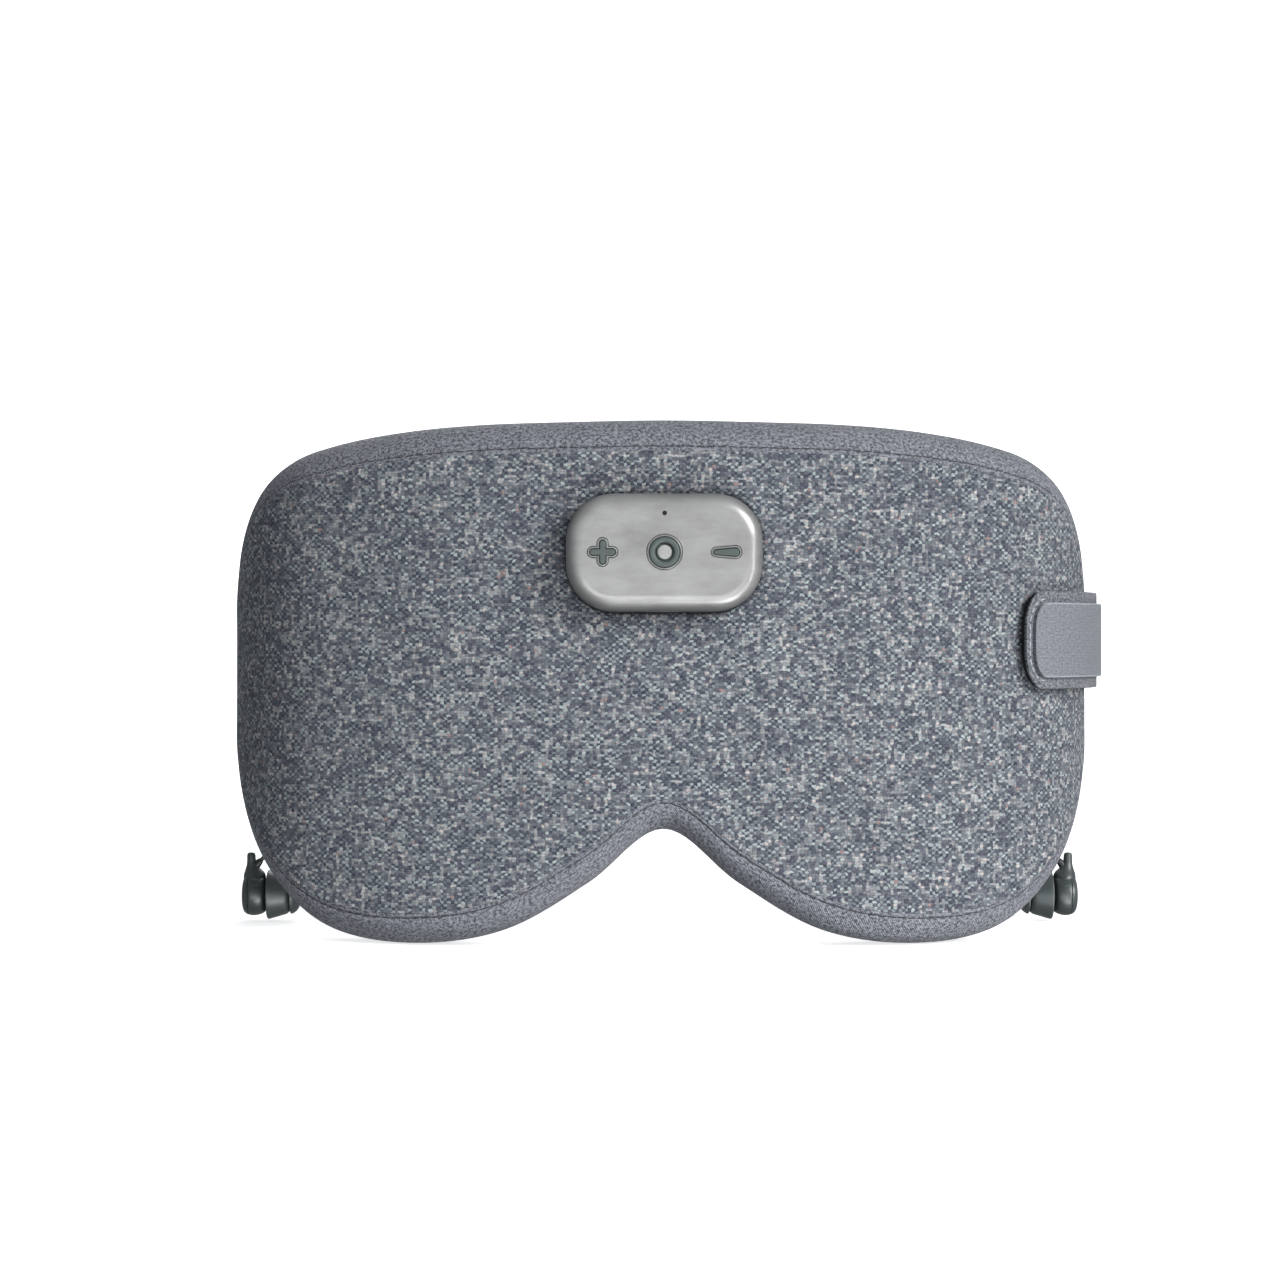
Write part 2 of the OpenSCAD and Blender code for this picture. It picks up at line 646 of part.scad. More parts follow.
// ======== Earbuds ========
module cord_outlet(side) {
    color([0.2, 0.23, 0.24]) translate([side * outlet_x, 0, outlet_z]) difference() {
        union() {
            translate([0, outlet_from, 0]) rotate([-90, 0, 0]) cylinder(d = outlet_flange, h = 0.9);
            translate([0, outlet_from, 0]) rotate([-90, 0, 0]) cylinder(d = outlet_d, h = bud_y - outlet_from);
            translate([0, bud_y, 0]) sphere(d = outlet_d);
            translate([0, bud_y, outlet_mouth - outlet_z]) cylinder(d = outlet_d, h = outlet_z - outlet_mouth);
        }
        translate([0, bud_y, outlet_mouth - outlet_z - 1]) cylinder(d = cord_d + 0.3, h = 1.8);
    }
}
module ear_cord(side) {
    color([0.16, 0.19, 0.2]) tube([for (p = cord_route) [side * p.x, bud_y, p.y]], cord_d);
}
module bud_housing(side) {
    r = bud_d / 2;
    color([0.23, 0.26, 0.27]) difference() {
        union() {
            bud_round(side, [[neck_x, 0], [neck_x, r - 0.9], [neck_x + 0.9, r], [split_x, r], [split_x, 0]]);
            translate([side * stem_x, bud_y, stem_top - stem_w / 2]) sphere(d = stem_w);
            translate([side * stem_x, bud_y, neck_low])
                cylinder(d = stem_w, h = stem_top - stem_w / 2 - neck_low);
            translate([side * (stem_x - 0.9), bud_y, neck_low]) cylinder(d = neck_d, h = neck_top - neck_low);
        }
        bud_round(side, [[neck_x + 1, 0], [neck_x + 1, r - bud_wall - 0.6], [neck_x + 1.6, r - bud_wall],
                         [split_x + 1, r - bud_wall], [split_x + 1, 0]]);
        bud_round(side, [[neck_x - 1, 0], [neck_x - 1, nozzle_d / 2 + 0.02],
                         [neck_x + 2, nozzle_d / 2 + 0.02], [neck_x + 2, 0]]);
    }
}
module bud_cap(side) {
    r = bud_d / 2;
    plug_r = r - bud_wall - 0.05;
    notch_gap = 0.2;
    color([0.2, 0.23, 0.24]) difference() {
        bud_round(side, [
            [split_x - 0.6, 0], [split_x - 0.6, plug_r], [split_x + 0.05, plug_r], [split_x + 0.05, r - 0.1],
            [cap_x - 1, r - 0.1], [cap_x - 0.4, r - 0.5], [cap_x, r - 1.3], [cap_x, 0]]);
        translate([side * stem_x, bud_y, neck_low - 0.1]) cylinder(d = stem_w + notch_gap, h = 10);
        translate([side * (stem_x - 0.9), bud_y, neck_low - 0.1]) cylinder(d = neck_d + notch_gap, h = 10);
    }
}
module bud_driver(side) {
    r = bud_d / 2 - bud_wall - 0.2;
    color([0.7, 0.6, 0.4]) bud_round(side, [
        [neck_x + 1.9, 0], [neck_x + 1.9, r - 0.4], [neck_x + 3.3, r - 0.4], [neck_x + 3.3, 0]]);
}
module bud_nozzle(side) {
    o = nozzle_d / 2;
    i = nozzle_bore / 2;
    color([0.23, 0.26, 0.27]) bud_round(side, [
        [tip_x + 1.4, i], [tip_x + 1.4, o], [tip_x + 2, o + 0.35], [tip_x + 2.8, o], [neck_x + 1.2, o],
        [neck_x + 1.2, i]]);
}
module ear_tip(side) {
    r = tip_d / 2;
    bore = nozzle_d / 2 + 0.05;
    color([0.31, 0.34, 0.34]) bud_round(side, [
        [tip_x, 1.4], [tip_x, 2.5], [tip_x + 0.7, 3.9], [tip_x + 2.3, 4.9], [tip_x + 2.5, 4.5],
        [tip_x + 2.3, 4], [tip_x + 3.2, 5.1], [tip_x + 5.2, r - 0.4], [tip_x + 7.6, r], [tip_x + 8, r - 0.3],
        [tip_x + 7.6, r - 0.8], [tip_x + 5, r - 1.6], [tip_x + 3.4, 3], [neck_x - 0.4, 2.7],
        [neck_x - 0.4, bore], [tip_x + 3, bore], [tip_x + 3, bore + 0.4], [tip_x + 1.3, bore + 0.4],
        [tip_x + 1.3, 1.4]]);
}
module cord_boot(side) {
    v = boot_foot - boot_top;
    color([0.16, 0.19, 0.2]) translate([side * boot_top.x, bud_y, boot_top.y])
        rotate([0, side * atan2(v.x, v.y), 0]) cylinder(d1 = boot_d - 0.3, d2 = boot_d, h = norm(v));
}

front_cover();
rim_band();
front_foam();
carrier_plate();
spacer_foam();
rear_foam();
face_lining();
eye_pad(left);  // eye_pad_left
eye_pad(right);  // eye_pad_right
heating_film(left);  // heating_film_left
heating_film(right);  // heating_film_right
pod_base();
pod_cover();
pod_gasket();
control_board();
battery();
usb_c_socket();
status_light_guide();
key_switches();
pod_screws();
ring_key();
ring_key_centre();
plus_key();
minus_key();
motor_capsule(left);  // motor_capsule_left
motor_capsule(right);  // motor_capsule_right
motor_can(left);  // motor_can_left
motor_can(right);  // motor_can_right
motor_shaft(left);  // motor_shaft_left
motor_shaft(right);  // motor_shaft_right
motor_weight(left);  // motor_weight_left
motor_weight(right);  // motor_weight_right
wiring(left);  // wiring_left
wiring(right);  // wiring_right
strap_left();
strap_back();
strap_right();
tab_pad();
tab_webbing();
hook_patch();
cord_outlet(left);  // cord_outlet_left
cord_outlet(right);  // cord_outlet_right
ear_cord(left);  // ear_cord_left
ear_cord(right);  // ear_cord_right
bud_housing(left);  // bud_housing_left
bud_housing(right);  // bud_housing_right
bud_cap(left);  // bud_cap_left
bud_cap(right);  // bud_cap_right
bud_driver(left);  // bud_driver_left
bud_driver(right);  // bud_driver_right
bud_nozzle(left);  // bud_nozzle_left
bud_nozzle(right);  // bud_nozzle_right
ear_tip(left);  // ear_tip_left
ear_tip(right);  // ear_tip_right
cord_boot(left);  // cord_boot_left
cord_boot(right);  // cord_boot_right
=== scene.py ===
"""Looks of the eye massager mask: fabric skins, control pod, strap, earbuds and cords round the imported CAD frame."""

import math

import bmesh
import bpy
import numpy as np
from mathutils import Matrix, Vector


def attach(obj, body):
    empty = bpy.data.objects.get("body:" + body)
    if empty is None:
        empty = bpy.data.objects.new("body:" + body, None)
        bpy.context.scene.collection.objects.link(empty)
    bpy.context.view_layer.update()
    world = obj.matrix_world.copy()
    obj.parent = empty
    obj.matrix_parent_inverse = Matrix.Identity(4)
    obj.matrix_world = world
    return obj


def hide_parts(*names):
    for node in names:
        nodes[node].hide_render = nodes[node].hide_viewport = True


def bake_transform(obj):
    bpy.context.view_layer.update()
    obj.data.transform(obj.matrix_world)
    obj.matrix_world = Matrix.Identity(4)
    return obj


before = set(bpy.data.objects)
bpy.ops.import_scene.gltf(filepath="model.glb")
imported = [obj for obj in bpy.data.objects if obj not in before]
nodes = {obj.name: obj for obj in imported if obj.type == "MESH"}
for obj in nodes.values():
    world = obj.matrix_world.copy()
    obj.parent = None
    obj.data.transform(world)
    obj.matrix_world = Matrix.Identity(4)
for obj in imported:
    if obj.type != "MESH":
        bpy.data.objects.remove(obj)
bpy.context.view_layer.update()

MM = 0.001
MIDDLE = (0, 0, 0)


def link(o):
    bpy.context.scene.collection.objects.link(o)
    return o


# ---- camera and light
camera = link(bpy.data.objects.new("camera", bpy.data.cameras.new("camera")))
bpy.context.scene.camera = camera
camera.location = (-0.010, -0.620, 0.0)
camera.rotation_euler = (math.pi / 2, 0, 0)
camera.data.lens = 73.15
camera.data.sensor_width = 36
camera.data.shift_x = 0.0152
camera.data.clip_start, camera.data.clip_end = 0.01, 50
bpy.context.scene.view_settings.view_transform = "Standard"


def lamp(kind, name, place, aim, power, **settings):
    data = bpy.data.lights.new(name, kind)
    data.energy = power
    for key, value in settings.items():
        setattr(data, key, value)
    o = link(bpy.data.objects.new(name, data))
    o.location = place
    o.rotation_mode = "QUATERNION"
    o.rotation_quaternion = (Vector(aim) - Vector(place)).to_track_quat("-Z", "Y")
    o.visible_camera = False


lamp("SUN", "key_light", (0.62, -0.63, 0.40), MIDDLE, 2.80, angle=math.radians(28))
for name, place, aim, watts, wide, high in (("strip_softbox", (0.56, -0.58, -0.14), MIDDLE, 1.25, 0.07, 0.5),
                                            ("front_softbox", (-0.02, -0.70, -0.19), MIDDLE, 1.6, 0.54, 0.26),
                                            ("low_softbox", (0.22, -0.50, -0.44), MIDDLE, 2.7, 0.36, 0.20),
                                            ("rear_softbox", (0.10, 0.95, 0.75), (0, 0.02, 0), 5.0, 0.9, 0.6)):
    lamp("AREA", name, place, aim, watts, shape="RECTANGLE", size=wide, size_y=high)
world = bpy.data.worlds.new("studio")
bpy.context.scene.world = world
world.use_nodes = True
sky = world.node_tree.nodes["Background"].inputs
sky["Color"].default_value, sky["Strength"].default_value = (0.93, 0.96, 1.0, 1), 0.32

# ---- mesh helpers


def link_mesh(name, points, faces, uvs=None):
    """A mesh object from points in mm. uvs gives one (u, v) in mm for each corner of each face."""
    mesh = bpy.data.meshes.new(name)
    mesh.from_pydata([tuple(MM * c for c in p) for p in points], [], [list(f) for f in faces])
    if uvs is not None:
        layer = mesh.uv_layers.new(name="cloth")
        layer.data.foreach_set("uv", np.array([c for face in uvs for c in face], np.float32).ravel())
    mesh.update()
    work = bmesh.new()
    work.from_mesh(mesh)
    bmesh.ops.recalc_face_normals(work, faces=work.faces)
    work.to_mesh(mesh)
    work.free()
    mesh.polygons.foreach_set("use_smooth", [True] * len(mesh.polygons))
    return link(bpy.data.objects.new(name, mesh))


def sharpen(o, degrees):
    """Marks the edges that turn by more than this as sharp."""
    work = bmesh.new()
    work.from_mesh(o.data)
    for e in work.edges:
        e.smooth = not (len(e.link_faces) == 2 and e.calc_face_angle(0) > math.radians(degrees))
    work.to_mesh(o.data)
    work.free()
    return o


def finish_piece(o, material, body, replaced=()):
    """Gives a piece its material and its body, and hides the CAD nodes it stands for. A piece with no body is left
    unattached.
    """
    o.data.materials.clear()
    o.data.materials.append(MAT[material])
    if body is not None:
        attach(o, body)
    if replaced:
        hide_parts(*replaced)


def grid_mesh(name, rows, uv_rows=None, close_rows=False, ends="open", same=None):
    """Lofts closed rings of points, rows[r][k]. ends is open, fan or zip, where same[k] is the column that
    column k meets. With close_rows the last row joins the first one. uv_rows[r] has one more column than rows[r]."""
    count, width = len(rows), len(rows[0])
    points = [p for row in rows for p in row]

    def index(r, k):
        k %= width
        if ends == "zip" and r in (0, count - 1):
            k = min(k, same[k])
        return (r % count) * width + k

    faces, uvs = [], []
    for r in range(count if close_rows else count - 1):
        for k in range(width):
            faces.append((index(r, k), index(r, k + 1), index(r + 1, k + 1), index(r + 1, k)))
            if uv_rows is not None:
                r2 = (r + 1) % count
                uvs.append((uv_rows[r][k], uv_rows[r][k + 1], uv_rows[r2][k + 1], uv_rows[r2][k]))
    if ends == "fan":
        for r in (0, count - 1):
            points.append(np.mean(rows[r], axis=0))
            middle = len(points) - 1
            for k in range(width):
                faces.append((index(r, k), index(r, k + 1), middle))
                if uv_rows is not None:
                    uvs.append((uv_rows[r][k], uv_rows[r][k + 1], np.mean(uv_rows[r], axis=0)))
    used = sorted({i for f in faces for i in f})
    number = {i: n for n, i in enumerate(used)}
    kept = [tuple(dict.fromkeys(number[i] for i in f)) for f in faces]
    if uv_rows is not None:
        uvs = [u for f, u in zip(kept, uvs) if len(f) == len(u)]
    faces = [f for f, g in zip(kept, faces) if len(f) == len(g)]
    return link_mesh(name, [points[i] for i in used], faces, uvs if uv_rows is not None else None)


def apply_modifiers(o):
    """Puts the result of the object's modifiers into its mesh."""
    graph = bpy.context.evaluated_depsgraph_get()
    done = bpy.data.meshes.new_from_object(o.evaluated_get(graph))
    o.modifiers.clear()
    o.data = done
    return o


def cut(o, cutter):
    change = o.modifiers.new("cut", "BOOLEAN")
    change.operation, change.solver, change.object = "DIFFERENCE", "EXACT", cutter
    apply_modifiers(o)
    bpy.data.objects.remove(cutter)
    return o

def distances(path):
    """Distance along a path to each of its points."""
    return np.concatenate([[0], np.cumsum(np.linalg.norm(np.diff(path, axis=0), axis=1))])


def directions(path):
    way = np.gradient(path, axis=0)
    return way / np.linalg.norm(way, axis=1)[:, None]


def full_turn(count):
    return 2 * np.pi * np.arange(count) / count


def catmull(a, b, c, d, t):
    """Catmull-Rom curve from b to c."""
    return (2 * b + (c - a) * t + (2 * a - 5 * b + 4 * c - d) * t**2 + (3 * b - a - 3 * c + d) * t**3) / 2



# ---- the shell's surface, as in the CAD
MASK_T, FLAP_THIN, RIM_W, RIM_RISE = 20, 0.62, 9, 7
THIN_FROM, THIN_OVER = 70, 60
ARC_R, ARC_L = (250, 118, 42, 220), (50, 38, 46, 20)
HALF = [(0, 51.3), (22, 51), (44, 50.5), (64, 49.1), (82, 46.6), (97, 42.7), (111, 35), (126, 20.2), (138, -2),
        (134, -25), (118.6, -43.1), (102, -58.3), (83, -69.1), (60, -71.5), (38, -67.8), (18, -56.7), (0, -44.1)]
POD_Z, POD_W, POD_H, POD_CORNER, POD_EDGE, POD_RISE = 20.0, 45.0, 27.0, 11.0, 3.0, 8.5
YARN_U, YARN_V = 0.86, 0.66  # the front cover's yarns are this far apart, in mm
HALF_W, SPINE_END = 138, 100
STEPS = 10
COLS = 2 * (len(HALF) - 1) * STEPS


def plan(s):
    """Angle and place of the shell's plan curve at distances s from the middle."""
    left = np.abs(s)
    a, x, y = (np.zeros_like(left) for _ in range(3))
    for r, length in zip(ARC_R, ARC_L):
        step = np.minimum(left, length)
        b = a + step / r
        x, y = x + r * (np.sin(b) - np.sin(a)), y + r * (np.cos(a) - np.cos(b))
        a, left = b, left - step
    return a, x, y


def plan_point(s, d):
    s = np.asarray(s, float)
    a, x, y = plan(s)
    return np.sign(s) * (x - d * np.sin(a)), y + d * np.cos(a) - MASK_T


def thin(s):
    t = np.clip((np.abs(s) - THIN_FROM) / THIN_OVER, 0, 1)
    return 1 - (1 - FLAP_THIN) * t * t * (3 - 2 * t)


def shell(s, z, d):
    """Points in mm on the shell at depth d, thinned towards the flaps."""
    s, z, d = np.broadcast_arrays(np.asarray(s, float), np.asarray(z, float), np.asarray(d, float))
    x, y = plan_point(s, d * thin(s))
    return np.stack([x, y, z], axis=-1)


def make_outline():
    knots = np.array(HALF + [(-s, z) for s, z in HALF[-2:0:-1]], float)
    t = np.arange(STEPS)[:, None] / STEPS
    count = len(knots)
    return np.concatenate([catmull(*(knots[(i + j) % count] for j in (-1, 0, 1, 2)), t) for i in range(count)])


OUTLINE = make_outline()
PARTNER = [(COLS // 2 - k) % COLS for k in range(COLS)]
middle = (OUTLINE + OUTLINE[PARTNER]) / 2
SPINE = np.stack([SPINE_END * np.sin(np.pi / 2 * middle[:, 0] / HALF_W), middle[:, 1]], axis=-1)
AROUND = distances(np.concatenate([OUTLINE, OUTLINE[:1]]))


def inset(u):
    """The outline moved in by u, as (s, z)."""
    v = SPINE - OUTLINE
    return OUTLINE + v * np.minimum(1, u / np.linalg.norm(v, axis=1))[:, None]


def rim(a, e, back=False):
    """Inset and depth on the rounded rim: a is 0 at the outline and 90 where the rim ends, e is how deep in."""
    a = math.radians(a)
    u, d = RIM_W - (RIM_W - e) * math.cos(a), RIM_RISE - (RIM_RISE - e) * math.sin(a)
    return u, (MASK_T - d if back else d)


def wave(a, b):
    """Smooth irregular ripple of two coordinates in mm, between about -1 and 1."""
    return 0.5 * np.sin(a * 0.95 + 2.1 * np.sin(b * 0.21 + a * 0.07)) + 0.5 * np.sin(a * 0.57 - b * 0.33 + 1.3)


def with_end(uv):
    """Repeats a ring's first (u, v) at its end."""
    return np.concatenate([uv, uv[:1]])


# ---- materials


def operator(op, swapped=False):
    """A Python operator on shader values, which adds a math node."""
    return lambda a, b=0.0: a.shader.calc(op, *((b, a) if swapped else (a, b)))


class Value:
    """An output in a shader that takes Python's operators."""

    def __init__(self, shader, socket):
        self.shader, self.socket = shader, socket

    __add__, __sub__, __rsub__ = operator("ADD"), operator("SUBTRACT"), operator("SUBTRACT", True)
    __mul__, __truediv__, __abs__ = operator("MULTIPLY"), operator("DIVIDE"), operator("ABSOLUTE")


class Shader:
    """A material on one Principled shader, whose nodes are written as calls."""

    def __init__(self, name, **sockets):
        self.material = bpy.data.materials.new(name)
        self.material.use_nodes = True
        self.tree = self.material.node_tree
        self.base = self.tree.nodes["Principled BSDF"]
        for key, value in sockets.items():
            self.base.inputs[key.replace("_", " ")].default_value = value

    def give(self, socket, value):
        if isinstance(value, Value):
            self.tree.links.new(value.socket, socket)
        elif value is not None:
            socket.default_value = (*value, 1) if socket.type == "RGBA" and len(value) == 3 else value

    def node(self, kind, inputs, out=0, **settings):
        n = self.tree.nodes.new("ShaderNode" + kind)
        for key, value in settings.items():
            setattr(n, key, value)
        for key, value in inputs.items():
            self.give(n.inputs[key], value)
        return Value(self, n.outputs[out])

    def calc(self, op, a, b=0.0):
        return self.node("Math", {0: a, 1: b}, operation=op)

    def between(self, x, low, high, to_low=0.0, to_high=1.0):
        return self.node("MapRange", dict(enumerate((x, low, high, to_low, to_high))), clamp=True)

    def vector(self, x, y, z=0.0):
        return self.node("CombineXYZ", {"X": x, "Y": y, "Z": z})

    def split(self, vector):
        first = self.node("SeparateXYZ", {"Vector": vector})
        return [Value(self, output) for output in first.socket.node.outputs]

    def cloth(self):
        """(u, v) in mm on the cloth."""
        return self.split(self.node("UVMap", {}, uv_map="cloth"))[:2]

    def place(self, x=1000.0, y=1000.0, z=1000.0):
        """Object place in mm, each axis scaled on its own."""
        where = self.node("TexCoord", {}, "Object")
        return self.node("Mapping", {"Vector": where, "Scale": (x, y, z)}, vector_type="POINT")

    def noise(self, where, scale, detail=2.0, rough=0.5):
        return self.node("TexNoise", {"Vector": where, "Scale": scale, "Detail": detail, "Roughness": rough}, "Fac")

    def random(self, x, y, z):
        return self.node("TexWhiteNoise", {"Vector": self.vector(x, y, z)}, "Value")

    def ramp(self, x, *stops):
        out = self.node("ValToRGB", {"Fac": x})
        elements = out.socket.node.color_ramp.elements
        while len(elements) < len(stops):
            elements.new(0.5)
        for e, (at, _) in zip(elements, stops):
            e.position = at
        for e, (_, colour) in zip(elements, stops):
            e.color = (*colour, 1)
        return out

    def mix(self, x, a, b, way="MIX"):
        return self.node("Mix", {0: x, 6: a, 7: b}, 2, data_type="RGBA", blend_type=way)

    def grey(self, x):
        return self.node("CombineColor", {"Red": x, "Green": x, "Blue": x})

    def finish(self, colour, rough=None, height=None, depth_mm=0.1, strength=1.0):
        self.give(self.base.inputs["Base Color"], colour)
        self.give(self.base.inputs["Roughness"], rough)
        if height is not None:
            bump = self.node("Bump", {"Strength": strength, "Distance": depth_mm * MM, "Height": height})
            self.give(self.base.inputs["Normal"], bump)
        return self.material


def melange():
    """Coarse plain weave of marled yarns: blue-grey weft floats and warmer warp knots."""
    s = Shader("melange_fabric", Sheen_Weight=0.12, Sheen_Roughness=0.45, Specular_IOR_Level=0.12)
    u, v = s.cloth()
    drift_u = (s.noise(s.vector(u, v), 0.45) - 0.5) * 1.5
    drift_v = (s.noise(s.vector(v, u, 7.0), 0.5) - 0.5) * 1.2
    fuzz_u = (s.noise(s.vector(u, v, 3.0), 1.4, 3.0, 0.65) - 0.5) * 1.2
    fuzz_v = (s.noise(s.vector(u, v, 9.0), 1.4, 3.0, 0.65) - 0.5) * 0.9
    x = (u + drift_u + fuzz_u) / YARN_U
    z = (v + drift_v + fuzz_v) / YARN_V
    i, j = s.calc("FLOOR", z), s.calc("FLOOR", x)

    def yarn(along, across, number, bias, flat_top):
        """Height of one set of yarns and the number of the float on top."""
        phase = (along - 0.5) + (number + bias)
        turn = s.calc("COSINE", phase * math.pi)
        edge = s.calc("FRACT", across) * 2.0 - 1.0
        body = 1.0 - edge * edge
        height = s.between(turn, -flat_top, flat_top, -0.42, 0.42) + body * 0.5
        return height, s.calc("FLOOR", phase * 0.5 + 0.5)

    weft, weft_n = yarn(x, z, i, 0.0, 0.5)
    warp, warp_n = yarn(z, x, j, 1.0, 1.0)
    warp = warp + (s.noise(s.vector(u * 0.55, v), 2.1, 3.0, 0.7) - 0.52) * 1.5
    on_top = s.between(warp - weft, -0.12, 0.12)
    height = s.calc("MAXIMUM", warp, weft)
    tone = (s.noise(s.vector(u * 0.32, v), 0.16, 3.0, 0.6) - 0.5) * 0.35
    weft_c = s.ramp(s.random(weft_n, i, 3.0) + tone, (0.02, (0.084, 0.096, 0.122)), (0.34, (0.136, 0.157, 0.180)),
                    (0.62, (0.204, 0.236, 0.252)), (0.86, (0.276, 0.320, 0.330)), (1.0, (0.350, 0.398, 0.402)))
    warp_c = s.ramp(s.random(warp_n, j, 8.0) + tone, (0.02, (0.052, 0.054, 0.074)), (0.48, (0.094, 0.098, 0.122)),
                    (0.76, (0.176, 0.174, 0.192)), (0.93, (0.330, 0.306, 0.306)), (1.0, (0.480, 0.430, 0.420)))
    pink = s.calc("GREATER_THAN", s.random(warp_n, j, 31.0), 0.992)
    colour = s.mix(on_top, weft_c, s.mix(pink, warp_c, (0.30, 0.20, 0.195)))
    hair = s.noise(s.vector(u * 0.8, v), 2.6, 3.0, 0.75)
    # Painted shade: the colour darkens where the yarns dip into the gaps between each other; the hair noise adds random
    # tone on top.
    shade = s.between(height, -0.05, 0.75, 0.40, 1.14) * s.between(hair, 0.28, 0.72, 0.74, 1.26)
    colour = s.mix(1.0, colour, s.grey(shade), "MULTIPLY")
    return s.finish(colour, s.between(hair, 0.3, 0.7, 0.78, 0.95), height + hair * 0.35, 0.22, 0.8)


def twill(name, low, high, pitch=0.62):
    """Fine diagonal weave with fine slubs."""
    s = Shader(name, Sheen_Weight=0.2, Sheen_Roughness=0.4, Specular_IOR_Level=0.2)
    u, v = s.cloth()
    diag = (u + v * 0.75) / pitch + s.noise(s.vector(u, v), 0.5, 2.0) * 0.9
    rib = s.calc("SINE", diag * (2 * math.pi))
    cross = s.calc("SINE", (v * 1.6 - u * 0.5) * (2 * math.pi / pitch))
    height = rib * 0.5 + cross * 0.28
    speck = s.noise(s.vector(u * 0.8, v), 1.5, 4.0, 0.85)
    cloud = s.noise(s.vector(u, v), 0.22, 2.0)
    # The rib height lightens the ridges and darkens the grooves between them: painted shade on the weave's relief.
    tone = height * 0.22 + s.between(speck, 0.34, 0.66, -0.45, 1.45) + (cloud - 0.5) * 0.45
    colour = s.ramp(tone, (0.0, low), (1.0, high))
    return s.finish(colour, s.between(speck, 0.3, 0.7, 0.72, 0.92), height + speck, 0.09, 0.8)


def moulded(name, colour, rough, metallic=0.0, spread=0.08, grain=2.5, depth=0.012, stretch=(1, 1, 1), **sockets):
    """Moulded or painted surface: slight cloudiness in colour and gloss over a fine grain."""
    s = Shader(name, Metallic=metallic, **sockets)
    where = s.place(*(1000 * c for c in stretch))
    fine = s.noise(where, grain, 3.0, 0.65)
    tone = s.noise(where, 0.11, 4.0, 0.6) * 0.7 + fine * 0.3
    low, high = ([min(1, c * (1 + sign * spread * 2)) for c in colour] for sign in (-1, 1))
    gloss = s.between(tone, 0.3, 0.7, rough * 0.86, rough * 1.14)
    return s.finish(s.ramp(tone, (0.25, low), (0.75, high)), gloss, fine, depth)


def pod_silver():
    """Satin silver paint: faint sideways smears, with painted shade darkening it over the shoulder where it turns away.
    """
    s = Shader("pod_silver", Metallic=0.2, Coat_Weight=0.3, Coat_Roughness=0.18)
    x, _, z = s.split(s.place())
    past_x = s.calc("MAXIMUM", abs(x) - (POD_W / 2 - POD_CORNER), 0.0)
    past_z = s.calc("MAXIMUM", abs(z - POD_Z) - (POD_H / 2 - POD_CORNER), 0.0)
    from_corner = s.calc("SQRT", past_x * past_x + past_z * past_z)
    # Painted shade: the colour falls to 0.62 over the shoulder, standing in for the darker light it catches there.
    turn = s.between(from_corner, POD_CORNER - 2.6, POD_CORNER - 0.4, 1.0, 0.62)
    smear = s.noise(s.place(220, 1000, 800), 0.35, 4.0, 0.6)
    cloud = s.noise(s.place(500, 1000, 800), 0.16, 3.0, 0.6)
    fine = s.noise(s.place(), 5.0, 3.0, 0.65)
    tone = smear * 0.4 + cloud * 0.4 + fine * 0.2
    paint = s.ramp(tone, (0.36, (0.27, 0.27, 0.267)), (0.64, (0.41, 0.41, 0.406)))
    colour = s.mix(1.0, paint, s.grey(turn), "MULTIPLY")
    return s.finish(colour, s.between(tone, 0.3, 0.7, 0.26, 0.36), fine, 0.006)


def foam(name, colour):
    """Open-cell foam: pores and soft crumbly colour."""
    s = Shader(name, Specular_IOR_Level=0.1)
    pores = s.node("TexVoronoi", {"Vector": s.place(), "Scale": 1.9}, "Distance")
    tone = pores * 0.7 + s.noise(s.place(), 0.4, 3.0) * 0.5
    low, high = [c * 0.6 for c in colour], [min(1, c * 1.35) for c in colour]
    return s.finish(s.ramp(tone, (0.2, low), (0.8, high)), 0.95, pores, 0.25)


def webbing(name, low, high, rib_u, rib_v, depth, sheen=0.25):
    """Narrow woven band: ribs along it crossed by finer picks, with a painted highlight along both long edges and
    painted shade in the grooves between ribs.
    """
    s = Shader(name, Sheen_Weight=sheen, Sheen_Roughness=0.35, Specular_IOR_Level=0.25)
    u, v = s.cloth()
    row = v / rib_v + s.noise(s.vector(u, v), 0.6) * 0.5
    pick = u / rib_u + s.calc("FLOOR", row) * 0.5
    ridge, knot = (abs(s.calc("SINE", part * math.pi)) for part in (row, pick))
    height = ridge * 0.5 + knot * 0.5
    speck = s.noise(s.vector(u * 0.6, v), 2.2, 3.0, 0.75)
    # Painted highlight: the colour is lighter along both long edges of the band, where light catches their rounded
    # corners.
    painted_edge_highlight = s.between(abs(v), 8.45, 8.65, 0.0, 0.45)
    # The rib height also lightens the ridges and darkens the grooves: painted shade on the weave's relief.
    tone = height * 0.4 + (s.between(speck, 0.32, 0.68, 0.0, 0.6) + painted_edge_highlight)
    colour = s.ramp(tone * 0.72, (0.07, low), (0.65, high), (1.0, [c * 1.4 for c in high]))
    return s.finish(colour, s.between(speck, 0.3, 0.7, 0.6, 0.8), height, depth, 0.8)


def plush(name, low, high):
    """Short soft pile, as on the side that touches the face."""
    s = Shader(name, Sheen_Weight=0.6, Sheen_Roughness=0.5, Specular_IOR_Level=0.1)
    pile = s.noise(s.place(), 2.2, 4.0, 0.75)
    tone = pile * 0.6 + s.noise(s.place(), 0.12, 3.0, 0.6) * 0.4
    return s.finish(s.ramp(tone, (0.3, low), (0.7, high)), 0.95, pile, 0.16)


